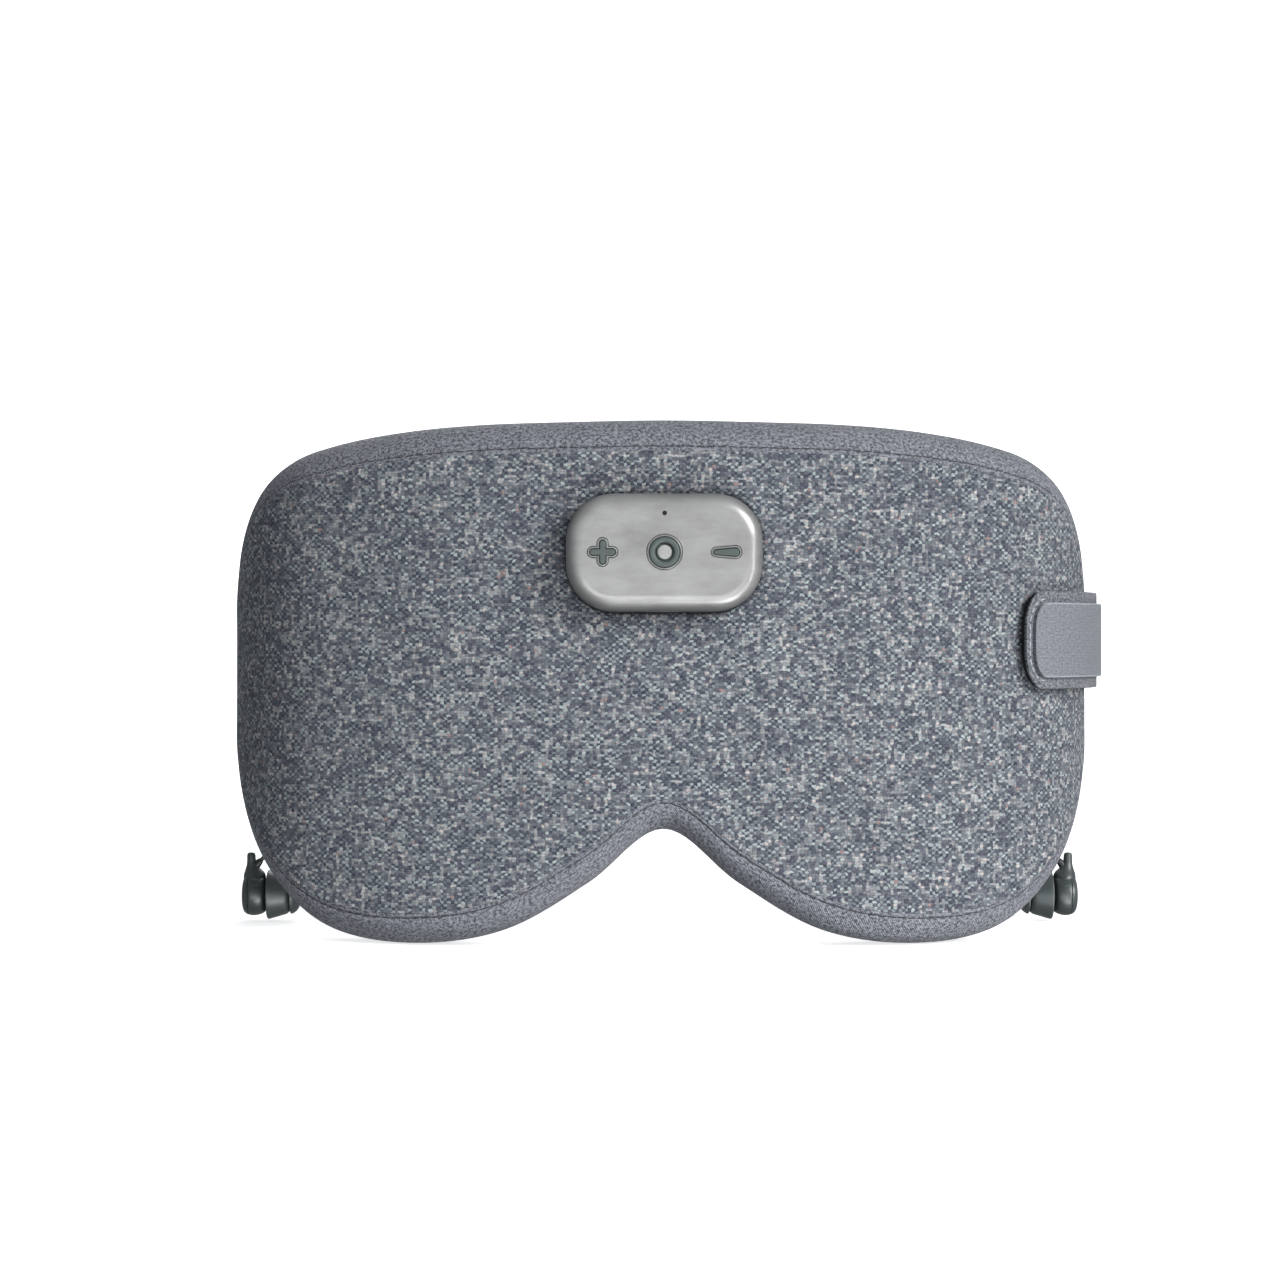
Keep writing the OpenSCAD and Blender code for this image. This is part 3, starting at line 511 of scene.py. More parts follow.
def thread(name, colour):
    """Twisted sewing thread."""
    s = Shader(name, Sheen_Weight=0.3, Specular_IOR_Level=0.35)
    twist = s.node("TexWave", {"Vector": s.place(), "Scale": 1.4, "Distortion": 0.6}, "Fac",
                   wave_type="BANDS", bands_direction="DIAGONAL")
    low, high = [c * 0.65 for c in colour], [min(1, c * 1.3) for c in colour]
    return s.finish(s.ramp(twist, (0.1, low), (0.9, high)), 0.6, twist, 0.04)


def board_green():
    """Solder mask with copper runs and pads."""
    s = Shader("board_green", Specular_IOR_Level=0.5)
    cells = s.node("TexVoronoi", {"Vector": s.place(), "Scale": 0.55}, "Distance", distance="CHEBYCHEV", feature="F1")
    runs = s.calc("LESS_THAN", abs(cells - 0.42), 0.05)
    colour = s.mix(runs, (0.015, 0.095, 0.045), (0.05, 0.22, 0.10))
    return s.finish(colour, s.between(s.noise(s.place(), 1.0), 0.3, 0.7, 0.3, 0.45), runs, 0.03)


def foil():
    """Crinkled foil of the pouch battery."""
    s = Shader("battery_foil", Metallic=0.85)
    crinkle = s.noise(s.place(), 0.6, 5.0, 0.6)
    return s.finish(s.ramp(crinkle, (0.3, (0.45, 0.46, 0.50)), (0.7, (0.70, 0.71, 0.74))),
                    s.between(crinkle, 0.3, 0.7, 0.28, 0.5), crinkle, 0.2)


def heater():
    """Amber film with a printed heating track."""
    s = Shader("heater_film", Specular_IOR_Level=0.5)
    lines = s.calc("SINE", s.split(s.place())[2] * (2 * math.pi / 3.2))
    track = s.calc("GREATER_THAN", lines, 0.25)
    cloud = s.noise(s.place(), 0.2, 3.0)
    colour = s.mix(track, s.ramp(cloud, (0.3, (0.52, 0.24, 0.05)), (0.7, (0.68, 0.34, 0.08))), (0.34, 0.17, 0.06))
    return s.finish(colour, s.between(cloud, 0.3, 0.7, 0.25, 0.4), track, 0.03)


MAT = {
    "melange": melange(),
    "twill": twill("band_twill", (0.050, 0.055, 0.068), (0.310, 0.324, 0.362)),
    "tab_cloth": twill("tab_cloth", (0.046, 0.050, 0.060), (0.276, 0.291, 0.318), pitch=0.55),
    "tab_webbing": webbing("tab_webbing_weave", (0.066, 0.072, 0.084), (0.288, 0.306, 0.340), 0.62, 0.36, 0.08, 0.2),
    "strap": webbing("strap_weave", (0.080, 0.086, 0.102), (0.300, 0.318, 0.352), 1.1, 0.62, 0.14),
    "lining": plush("face_lining_plush", (0.055, 0.058, 0.068), (0.120, 0.125, 0.142)),
    "pad": plush("eye_pad_plush", (0.070, 0.074, 0.086), (0.150, 0.156, 0.176)),
    "foam": foam("foam_cells", (0.06, 0.06, 0.066)),
    "plate": moulded("plate_plastic", (0.52, 0.52, 0.49), 0.5),
    "silver": pod_silver(),
    "dark": moulded("dark_plastic", (0.050, 0.054, 0.056), 0.5),
    "gasket": moulded("gasket_rubber", (0.022, 0.024, 0.025), 0.62, depth=0.02),
    "key": moulded("key_rubber", (0.070, 0.092, 0.088), 0.5, depth=0.02),
    "disc": moulded("ring_centre_grain", (0.33, 0.335, 0.33), 0.6, 0.1, 0.3, 3.0, 0.05),
    "board": board_green(),
    "foil": foil(),
    "heater": heater(),
    "steel": moulded("bright_steel", (0.62, 0.62, 0.63), 0.28, 1.0, 0.05, 4.0, 0.004),
    "motor": moulded("motor_steel", (0.55, 0.56, 0.58), 0.32, 1.0, 0.05, 4.0, 0.004, (1, 1, 6)),
    "brass": moulded("weight_brass", (0.55, 0.40, 0.17), 0.35, 1.0, 0.07, 3.0, 0.006),
    "clear": moulded("clear_capsule", (0.70, 0.71, 0.70), 0.22, Coat_Weight=0.3),
    "guide": moulded("light_guide_smoked", (0.006, 0.007, 0.007), 0.3),
    "wire": moulded("wire_jacket", (0.020, 0.020, 0.024), 0.42),
    "hook": foam("hook_pile", (0.020, 0.021, 0.024)),
    "bud": moulded("bud_plastic", (0.055, 0.068, 0.069), 0.42, 0.0, 0.06, 4.0, 0.006,
                   Coat_Weight=0.55, Coat_Roughness=0.36),
    "silicone": moulded("bud_silicone", (0.070, 0.086, 0.087), 0.44, 0.0, 0.05, 3.0, 0.006,
                        Coat_Weight=0.5, Coat_Roughness=0.42),
    "cord": moulded("cord_rubber", (0.022, 0.026, 0.027), 0.42, 0.0, 0.06, 3.0, 0.01),
    "driver": moulded("driver_foil", (0.40, 0.30, 0.16), 0.35, 0.8),
    "dark_thread": thread("seam_thread", (0.030, 0.031, 0.037)),
    "pale_thread": thread("tab_thread", (0.62, 0.64, 0.68)),
}

# ---- tubes, turned parts and stitches


def smooth_path(points, steps):
    """Catmull-Rom curve through open path points."""
    p = np.array(points, float)
    p = np.concatenate([[2 * p[0] - p[1]], p, [2 * p[-1] - p[-2]]])
    t = (np.arange(steps) / steps)[:, None]
    return np.concatenate([*(catmull(*p[i:i + 4], t) for i in range(len(p) - 3)), [p[-2]]])


def tube_rows(path, radii, sides):
    path = np.asarray(path, float)
    way = directions(path)
    turn = full_turn(sides)
    rows = []
    up = np.array([0.0, 1.0, 0.0]) if abs(way[0][1]) < 0.9 else np.array([1.0, 0.0, 0.0])
    for p, w, r in zip(path, way, radii):
        a = np.cross(w, up)
        a /= np.linalg.norm(a)
        b = np.cross(w, a)
        up = -b if np.dot(-b, up) > 0 else b
        rows.append(p + r * (np.cos(turn)[:, None] * a + np.sin(turn)[:, None] * b))
    return rows


def turned(name, profile, side, sides=56, closed=False):
    """A part turned about the bud's axis, which runs along X. Profile points are (distance from mid-plane, radius)."""
    turn = full_turn(sides)
    rows = [np.stack([np.full(sides, side * x), BUD_Y + r * np.cos(turn), BUD_Z + r * np.sin(turn)], axis=-1)
            for x, r in profile]
    return grid_mesh(name, rows, close_rows=closed, ends="open" if closed else "fan")


def join(name, parts):
    """One mesh object from several."""
    work = bmesh.new()
    for o in parts:
        work.from_mesh(o.data)
    mesh = bpy.data.meshes.new(name)
    work.to_mesh(mesh)
    work.free()
    for o in parts:
        bpy.data.objects.remove(o)
    return link(bpy.data.objects.new(name, mesh))


STITCH = np.array([0.35, 0.8, 1, 1, 0.8, 0.35])  # a stitch's thickness along it


def stitches(name, path, long, gap, radius, sides=6):
    """A row of separate sewn stitches along a path, each a thread that dives in at both ends."""
    path = np.asarray(path, float)
    at = distances(path)
    count = max(1, int(at[-1] / (long + gap)))
    pitch = at[-1] / count
    points, faces = [], []
    for n in range(count):
        t = n * pitch + gap / 2 + np.linspace(0, 1, len(STITCH)) * (pitch - gap)
        line = np.stack([np.interp(t, at, path[:, i]) for i in range(3)], axis=-1)
        start, end = len(points), len(points) + (len(STITCH) - 1) * sides
        points += [p for row in tube_rows(line, radius * STITCH, sides) for p in row]
        for row in range(start, end, sides):
            for k in range(sides):
                m = (k + 1) % sides
                faces.append([row + k, row + m, row + sides + m, row + sides + k])
        faces += [[row + k for k in range(sides)] for row in (start, end)]
    return link_mesh(name, points, faces)


# ---- ear cords
BUD_Y, BUD_Z = 46.0, -65.1
CORD_ROUTE = [(99.8, -24.2), (99.8, -27), (99.7, -30), (99.6, -33), (99.4, -36), (99.2, -39), (99, -42), (98.9, -45),
              (98.9, -47.5), (99.1, -50), (99.5, -52), (100.1, -53.7), (100.9, -55), (101.6, -55.9), (102.1, -56.4)]
SIDES = (("left", -1), ("right", 1))
for word, side in SIDES:
    line = smooth_path([(side * x, BUD_Y, z) for x, z in CORD_ROUTE], 3)
    cord = grid_mesh(f"ear_cord_line_{word}", tube_rows(line, np.full(len(line), 0.55), 16), ends="fan")
    finish_piece(cord, "cord", None, [f"ear_cord_{word}"])
    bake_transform(cord)

# ---- earbuds
for word, side in SIDES:
    body = f"earbud_{word}"
    barrel = [(101.6, 2.2), (100.75, 2.3), (100.7, 3.5), (100.78, 4.05), (101.05, 4.5), (101.6, 4.86), (102.3, 5.13),
              (103.0, 5.29), (103.7, 5.35), (104.3, 5.33), (104.78, 5.27), (104.84, 5.2), (104.86, 5.05),
              (104.86, 4.5), (104.7, 4.3)]
    stem = [(-54.35, 104.55, 0.35, 0.35), (-54.42, 104.55, 0.72, 0.72), (-54.65, 104.55, 0.98, 0.98),
            (-55.1, 104.53, 1.08, 1.08), (-56.4, 104.5, 1.14, 1.14), (-57.2, 104.42, 1.25, 1.22),
            (-57.9, 104.27, 1.55, 1.45), (-58.6, 104.02, 2.0, 1.8), (-59.2, 103.8, 2.42, 2.2),
            (-59.8, 103.7, 2.72, 2.7), (-60.6, 103.65, 2.85, 3.2), (-61.5, 103.65, 2.8, 3.4)]
    turn = full_turn(40)
    stem_rows = [np.stack([side * (cx + rx * np.cos(turn)), BUD_Y + ry * np.sin(turn), np.full(len(turn), z)], axis=-1)
                 for z, cx, rx, ry in stem]
    ribs = []
    for n, high in enumerate((4.15, 2.75)):
        xs = np.linspace(102.35, 104.75, 13)
        r = np.interp(xs, [p[0] for p in barrel[2:11]], [p[1] for p in barrel[2:11]])
        path = np.stack([side * xs, BUD_Y - np.sqrt(r**2 - high**2), np.full(len(xs), BUD_Z + high)], axis=-1)
        radii = 0.13 * np.where(np.isin(xs, (xs[0], xs[-1])), 0.3, 1.0)
        ribs.append(grid_mesh(f"rib_{n}", tube_rows(path, radii, 8), ends="fan"))
    housing = [turned("barrel", barrel, side), grid_mesh("stem", stem_rows, ends="fan"), *ribs]
    finish_piece(sharpen(join(f"bud_shell_{word}", housing), 50), "bud", body, [f"bud_housing_{word}"])
    cap = turned(f"bud_end_cap_{word}", [(104.2, 4.2), (104.94, 4.4), (104.96, 5.08), (105.02, 5.17), (105.3, 5.1),
                                          (105.7, 4.92), (106.05, 4.62), (106.32, 4.2), (106.48, 3.7), (106.56, 3.1),
                                          (106.6, 2.2), (106.6, 1.6), (106.52, 1.5), (106.52, 1.3), (106.58, 1.2),
                                          (106.6, 0.6)], side)
    finish_piece(sharpen(cap, 50), "bud", body, [f"bud_cap_{word}"])
    tip = turned(f"ear_tip_skin_{word}", [
        (92.05, 1.5), (91.98, 1.75), (92.0, 2.3), (92.12, 2.95), (92.45, 3.7), (92.95, 4.3), (93.5, 4.72),
        (93.95, 4.95), (94.22, 4.98), (94.34, 4.85), (94.26, 4.5), (94.14, 4.0), (94.2, 3.75), (94.36, 3.8),
        (94.55, 4.1), (94.85, 4.55), (95.3, 4.95), (95.9, 5.17), (96.6, 5.36), (97.4, 5.6), (98.3, 5.86),
        (99.1, 6.08), (99.7, 6.24), (99.98, 6.29), (100.16, 6.2), (100.14, 6.02), (99.7, 5.72), (98.6, 5.2),
        (97.2, 4.75), (96.1, 4.0), (95.6, 3.2), (95.9, 2.75), (97.5, 2.65), (99.8, 2.68), (100.28, 2.62),
        (100.3, 2.3), (100.26, 1.87), (99.5, 1.86), (96.0, 1.86), (95.2, 1.95), (93.6, 2.1), (93.2, 1.7)],
        side, closed=True)
    finish_piece(tip, "silicone", body, [f"ear_tip_{word}"])
    boot_line = smooth_path([(side * 102.0, BUD_Y, -56.3), (side * 102.6, BUD_Y, -56.95), (side * 103.1, BUD_Y, -57.6),
                             (side * 103.7, BUD_Y, -58.4)], 5)
    boot_radii = np.interp(np.arange(len(boot_line)), [0, 1, 2, 15], [0.62, 0.78, 0.84, 1.1])
    boot = grid_mesh(f"cord_relief_{word}", tube_rows(boot_line, boot_radii, 20), ends="fan")
    finish_piece(sharpen(boot, 50), "cord", body, [f"cord_boot_{word}"])

# ---- skins of the mask


def rounded(w, h, r, per_corner=14, per_side=9):
    """A round-cornered rectangle as points (x, z) about its centre, clockwise from the top's middle."""
    out = []
    wide, high = w - 2 * r, h - 2 * r
    t = np.arange(1, per_side + 1)[:, None] / (per_side + 1)
    for cx, cz, start, side_line in ((1, 1, 90, (0, -high)), (1, -1, 0, (-wide, 0)), (-1, -1, -90, (0, high)),
                                     (-1, 1, 180, (wide, 0))):
        a = np.radians(start - 90 * np.arange(per_corner + 1) / per_corner)
        out.append(np.stack([cx * wide / 2 + r * np.cos(a), cz * high / 2 + r * np.sin(a)], axis=-1))
        out.append(out[-1][-1] + t * np.array(side_line, float))
    return np.concatenate(out)


def reach(outline, angle):
    """Distance from the middle to a star-shaped outline in each direction."""
    a = np.arctan2(outline[:, 1], outline[:, 0])
    order = np.argsort(a)
    a, r = a[order], np.linalg.norm(outline, axis=1)[order]
    around = np.concatenate([[a[-1] - 2 * np.pi], a, [a[0] + 2 * np.pi]])
    return np.interp(angle, around, np.concatenate([[r[-1]], r, [r[0]]]))


def skin_rows(sections):
    """Rings at (inset, depth) all round the outline, with cloth coordinates along the outline and across it."""
    rows, uvs, across = [], [], 0.0
    for n, (u, d) in enumerate(sections):
        if n:
            across += math.dist(sections[n - 1], (u, d))
        rows.append(shell(*inset(u).T, d))
        uvs.append(np.stack([AROUND, np.full(COLS + 1, across)], axis=-1))
    return rows, uvs


def cover_row(p, d):
    """A ring of cloth at outline points p and depth d, with its cloth coordinates."""
    return shell(*p.T, d), with_end(p)


def rim_row(a, e, back=False):
    u, d = rim(a, e, back)
    return cover_row(inset(u), d)


def cover_mesh(name, rows, **settings):
    return grid_mesh(name, [r for r, _ in rows], [u for _, u in rows], **settings)


GROOVE, KNIT_A = 73.4, 80.1  # angles of the rim where the seam and the cover's edge lie
# How far in the band's front half lies at each angle of the rim: it rolls under the cover, dips at the seam and crowns.
front_way = [(84, 0.5), (83, 0.25), (81.5, 0.08), (79.5, -0.04), (77.3, -0.05), (75.3, 0.02), (74.2, 0.18),
             (GROOVE, 0.36), (72.6, 0.18), (71.4, 0.02), (69, -0.08), (64, -0.13), (56, -0.14), (48, -0.12),
             (40, -0.09), (32, -0.06), (24, -0.04), (16, -0.02), (8, 0), (0, 0)]
outer = [rim(a, e) for a, e in front_way] + [rim(a, e, True) for a, e in front_way[-2::-1]]
inner = [rim(a, 1.2, True) for a in (82, 66, 50, 34, 18, 6)] + [rim(a, 1.2) for a in (0, 12, 28, 44, 60, 82)]
rows, uvs = skin_rows(outer + inner)
band = grid_mesh("rim_band_skin", rows, uvs, close_rows=True)
finish_piece(band, "twill", "mask", ["rim_band"])

for word, back in (("front", False), ("rear", True)):
    path, _ = rim_row(GROOVE, 0.2, back)
    seam = stitches(f"seam_thread_{word}", np.concatenate([path, path[:1]]), 2.1, 0.35, 0.17)
    finish_piece(seam, "dark_thread", "mask")

# The front cover runs from the seam, over the front, to the pod's window, and back along its inner face.
window = rounded(POD_W + 0.6, POD_H + 0.6, POD_CORNER + 0.3)
start = inset(11.0)
angle = np.arctan2(start[:, 1] - POD_Z, start[:, 0])
hole = reach(window, angle)[:, None] * np.stack([np.cos(angle), np.sin(angle)], axis=-1) + (0, POD_Z)
away = np.linalg.norm(start - hole, axis=1)

# The sewn edge turns in and then crowns: (degrees past KNIT_A, how far in).
EDGE_ROLL = ((0.4, 0.95), (0, 0.5), (0.2, 0.08), (1.0, -0.12), (2.6, -0.14), (5.0, -0.08), (8.0, -0.02))
outside = [rim_row(KNIT_A + a, e) for a, e in EDGE_ROLL]
for u in (9.4, 10.2):
    outside.append(cover_row(inset(u), 0.05 * wave(AROUND[:-1], u) * (11 - u) / 2))
for t in np.concatenate([np.linspace(0, 0.9, 44), np.linspace(0.907, 1.0, 17)]):
    p = start + (hole - start) * t
    near = away * (1 - t)
    dip = 0.55 * np.exp(-((near / 0.5) ** 1.5)) + 0.2 * np.exp(-((near / 3.5) ** 2))
    calm = np.clip(near / 10, 0, 1) * min(1.0, t * 6)
    outside.append(cover_row(p, dip + 0.10 * calm * wave(p[:, 0] * 0.16, p[:, 1] * 0.5)))
inside = [cover_row(hole, 1.6), cover_row(hole + (start - hole) * 0.02, 1.35)]
inside += [cover_row(hole + (start - hole) * t, 1.2) for t in np.linspace(0.08, 1.0, 16)]
inside += [rim_row(a, 1.2) for a in (87, KNIT_A + 2)]
cover = cover_mesh("front_cover_knit", outside + inside, close_rows=True)
finish_piece(cover, "melange", "mask", ["front_cover"])

# The face side: one lining, closed along the middle.
base = inset(10.0)
face = [cover_row(base + (SPINE - base) * t, 18.95) for t in np.linspace(1, 0, 10)]
face += [rim_row(KNIT_A + a, e, True) for a, e in ((2, 1.1), *EDGE_ROLL)]
for t in np.linspace(0, 1, 26):
    p = base + (SPINE - base) * t
    soft = 0.10 * wave(p[:, 0] * 0.2, p[:, 1] * 0.4) * np.clip(t * 5, 0, 1) * np.clip((1 - t) * 6, 0, 1)
    face.append(cover_row(p, MASK_T + soft))
lining = cover_mesh("face_lining_cloth", face, ends="zip", same=PARTNER)
finish_piece(lining, "lining", "mask", ["face_lining"])

# ---- eye pads
PAD_X, PAD_Z, PAD_HALF_X, PAD_HALF_Z = 38.0, -8.0, 28.6, 24.6


def pad_ring(side, r, d, count=96):
    """A ring of the eye pad at share r of its half size and at depth d."""
    turn = -full_turn(count)
    bend = [np.sign(v) * np.abs(v) ** 0.72 for v in (np.cos(turn), np.sin(turn))]
    return shell(side * PAD_X + r * PAD_HALF_X * bend[0], PAD_Z + r * PAD_HALF_Z * bend[1], d)


VOXEL, CAP, HELD_NEAR = 1.6, 1.3, 1.9  # mm
PRESSURE, FRAMES = 4.0, 20


def places(mesh):
    co = np.empty(len(mesh.vertices) * 3)
    mesh.vertices.foreach_get("co", co)
    return co.reshape(-1, 3)


def swell(o, held):
    """Inflates a closed pad as cloth. Points near the held places stay, and none moves further than CAP."""
    remesh = o.modifiers.new("remesh", "REMESH")
    remesh.mode, remesh.voxel_size, remesh.use_smooth_shade = "VOXEL", VOXEL * MM, True
    apply_modifiers(o)
    before = places(o.data)
    pins = [i for i, p in enumerate(before / MM) if np.min(np.sum((held - p) ** 2, axis=1)) < HELD_NEAR**2]
    o.vertex_groups.new(name="held").add(pins, 1.0, "REPLACE")
    cloth = o.modifiers.new("cloth", "CLOTH")
    c = cloth.settings
    c.quality = 5
    c.mass = 0.2
    c.tension_stiffness = c.compression_stiffness = 8
    c.shear_stiffness, c.bending_stiffness = 4, 0.3
    c.shrink_min = -0.05
    c.use_pressure, c.uniform_pressure_force = True, PRESSURE
    c.vertex_group_mass = "held"
    c.effector_weights.gravity = 0
    cloth.point_cache.frame_end = FRAMES
    for frame_number in range(1, FRAMES + 1):
        bpy.context.scene.frame_set(frame_number)
    move = places(o.evaluated_get(bpy.context.evaluated_depsgraph_get()).data) - before
    o.modifiers.clear()
    bpy.context.scene.frame_set(1)
    far = np.linalg.norm(move, axis=1)[:, None]
    most = CAP * MM
    move *= np.where(far > 0, most * np.tanh(far / most) / np.maximum(far, 1e-12), 1.0)
    o.data.vertices.foreach_set("co", (before + move).ravel())
    o.vertex_groups.clear()
    o.modifiers.new("round", "SUBSURF").levels = 1
    apply_modifiers(o)


PAD_PROFILE = [(0.4, 20.3), (0.9, 20.3), (0.965, 20.45), (0.985, 20.8), (0.99, 21.2), (0.985, 21.7), (0.965, 22.3),
               (0.93, 22.9), (0.88, 23.4), (0.81, 23.8), (0.72, 24.15), (0.62, 24.4), (0.5, 24.55), (0.38, 24.6),
               (0.26, 24.62), (0.14, 24.63), (0.05, 24.63)]
# The pad's underside and its side below the piping don't swell.
PAD_HELD = [(r, 20.3) for r in (0.15, 0.3, 0.45, 0.6, 0.75, 0.88, 0.97)] + [(0.99, d) for d in (20.6, 21.0, 21.3)]
for word, side in SIDES:
    pad = grid_mesh(f"eye_pad_cushion_{word}", [pad_ring(side, r, d) for r, d in PAD_PROFILE], ends="fan")
    swell(pad, np.concatenate([pad_ring(side, r, d) for r, d in PAD_HELD]))
    finish_piece(pad, "pad", "mask", [f"eye_pad_{word}"])
    edge = pad_ring(side, 1.0, 21.0)
    piping = grid_mesh(f"eye_pad_piping_{word}", tube_rows(edge, np.full(len(edge), 0.55), 12), close_rows=True)
    finish_piece(piping, "lining", "mask")

# ---- control pod


def pod_row(outline, d):
    return np.stack([outline[:, 0], np.full(len(outline), d - MASK_T), outline[:, 1] + POD_Z], axis=-1)


def pod_outline(s):
    return rounded(POD_W - 2 * s, POD_H - 2 * s, POD_CORNER - s)


def plus_outline(g, n=8):
    """A plus grown by g all round, starting beside its upper arm."""
    r = 0.725 + g
    out = []
    for arm, turn in ((2.025, 90), (2.225, 0), (2.025, -90), (2.225, 180)):
        a = np.radians(turn + 90 - 180 * np.arange(n + 1) / n)
        tip = arm * np.array([math.cos(math.radians(turn)), math.sin(math.radians(turn))])
        out += [tip + r * np.array([math.cos(b), math.sin(b)]) for b in a]
        c = math.radians(turn - 45)
        out.append(r * math.sqrt(2) * np.array([math.cos(c), math.sin(c)]))
    return np.array(out)


def minus_outline(g, n=12):
    """A bar that widens to the right, grown by g all round."""
    out = []
    for x, r, start in ((2.0, 0.95, 90), (-2.4, 0.55, -90)):
        a = np.radians(start - 180 * np.arange(n + 1) / n)
        out += [np.array([x + (r + g) * math.cos(b), (r + g) * math.sin(b)]) for b in a]
    return np.array(out)


def disc_outline(r, n=64):
    a = np.radians(90 - 360 * np.arange(n) / n)
    return r * np.stack([np.cos(a), np.sin(a)], axis=-1)


def ring_outline(g):
    return disc_outline(RING_R + g)


def pod_loft(name, steps, x=0.0, z=0.0, closed=False):
    """Lofts outlines at depths: steps are (outline about the piece's own centre, depth)."""
    rows = [pod_row(o + (x, z), d) for o, d in steps]
    return grid_mesh(name, rows, close_rows=closed, ends="open" if closed else "fan")


PORT_SIZE, PORT_AHEAD = (9.24, 3.56), 3.2
KEY_X, RING_R, LIGHT_Z, POD_WALL, ROUND_IN, FRONT = 14.1, 3.5, 8.9, 1.1, 1.9, -POD_RISE
shoulder = [(1.26 * POD_EDGE * (1 - math.sin(a)), FRONT + POD_EDGE * (1 - math.cos(a)))
            for a in np.radians(np.linspace(90, 0, 17))]
sides = [(0.0, d) for d in (1.4, 0.0, -1.5, -3.0, -4.4)]
face = [(s, FRONT) for s in (4.3, 5.5, 7.5)]
round_in = [(POD_WALL + ROUND_IN * (1 - math.sin(a)), FRONT + POD_WALL + ROUND_IN * (1 - math.cos(a)))
            for a in np.radians((90, 70, 45, 20))]
hollow = [(POD_WALL, 3.0), (POD_WALL, -2.0), *round_in, (3.4, FRONT + POD_WALL), (7.0, FRONT + POD_WALL)]
pod, room = (pod_loft(name, [(pod_outline(s), d) for s, d in steps])
             for name, steps in (("pod_cover_shell", sides + shoulder + face), ("pod_hollow", hollow)))
cut(pod, room)
# The edge of each key's opening, as (growth of the key's outline, depth behind the front): the front dips towards it.
moat = ((0.70, -2.0), (0.70, 0.0), (0.66, 0.10), (0.64, 0.85), (0.48, 0.85), (0.46, 0.16), (0.41, 0.06), (0.33, 0.015),
        (0.24, 0.02), (0.17, 0.10), (0.12, 0.30), (0.12, 3.0))
for name, outline, x in (("plus_cut", plus_outline, -KEY_X), ("minus_cut", minus_outline, KEY_X),
                         ("ring_cut", ring_outline, 0.0)):
    cut(pod, pod_loft(name, [(outline(g), FRONT + d) for g, d in moat], x))
light_edge = ((0.62, -1), (0.62, 0.0), (0.52, 0.09), (0.5, 0.2), (0.5, 3))
cut(pod, pod_loft("light_cut", [(disc_outline(r, 32), FRONT + d) for r, d in light_edge], 0.0, LIGHT_Z))
port = rounded(*PORT_SIZE, 1.7)
port_rows = [np.stack([port[:, 0] * g, port[:, 1] * g - PORT_AHEAD - MASK_T, np.full(len(port), z)], axis=-1)
             for g, z in ((1.07, 5.5), (1.07, 6.55), (1.0, 6.8), (1.0, 9.5))]
cut(pod, grid_mesh("port_cut", port_rows, ends="fan"))
finish_piece(sharpen(pod, 28), "silver", "mask", ["pod_cover"])

lip = [(-0.02, 5.9), (-0.02, 0.55), (0.04, 0.42), (0.12, 0.42), (0.17, 0.55), (0.19, 1.75), (0.35, 1.85), (1.1, 1.9),
       (1.1, 5.9)]
gasket = pod_loft("pod_gasket_lip", [(pod_outline(-0.1 - s), d) for s, d in lip], closed=True)
finish_piece(sharpen(gasket, 50), "gasket", "mask", ["pod_gasket"])


def key_piece(name, node, body, outline, x, top):
    """A key: the cap seen in its hole, with the flange and stem behind the cover."""
    cap = pod_loft("cap", [(outline(g), d) for g, d in top])
    flange, stem = (pod_loft("back", [(disc_outline(r, n), d) for r, d in steps]) for n, steps in
                    ((48, ((4.1, -7.2), (4.3, -7.1), (4.3, -6.6), (4.1, -6.5))),
                     (24, ((1.0, -6.6), (1.0, -4.75), (0.9, -4.7)))))
    for o in (cap, flange, stem):
        o.data.transform(Matrix.Translation((x * MM, 0, 0)))
    finish_piece(sharpen(join(name, [cap, flange, stem]), 40), "key", body, [node])


glyph_top = ((-0.62, -8.46), (-0.3, -8.46), (-0.12, -8.44), (-0.04, -8.38), (0.0, -8.26), (0.0, -7.15))
key_piece("plus_key_cap", "plus_key", "plus_button", plus_outline, -KEY_X, glyph_top)
key_piece("minus_key_cap", "minus_key", "minus_button", minus_outline, KEY_X, ((-0.5, -8.46), *glyph_top[1:]))
ring_top = ((-3.2, -7.62), (-1.95, -7.62), (-1.62, -7.66), (-1.5, -7.8), (-1.38, -8.2), (-1.22, -8.42), (-1.0, -8.5),
            (-0.5, -8.54), (-0.22, -8.5), (-0.06, -8.4), (0.0, -8.2), (0.0, -7.15))
key_piece("ring_key_cap", "ring_key", "ring_button", ring_outline, 0.0, ring_top)
disc_top = ((1.65, -7.65), (1.65, -8.3), (1.6, -8.42), (1.48, -8.49), (1.2, -8.52), (0.6, -8.54), (0.2, -8.55))
disc = pod_loft("ring_key_disc", [(disc_outline(r), d) for r, d in disc_top])
finish_piece(sharpen(disc, 40), "disc", "ring_button", ["ring_key_centre"])

# ---- strap and tab


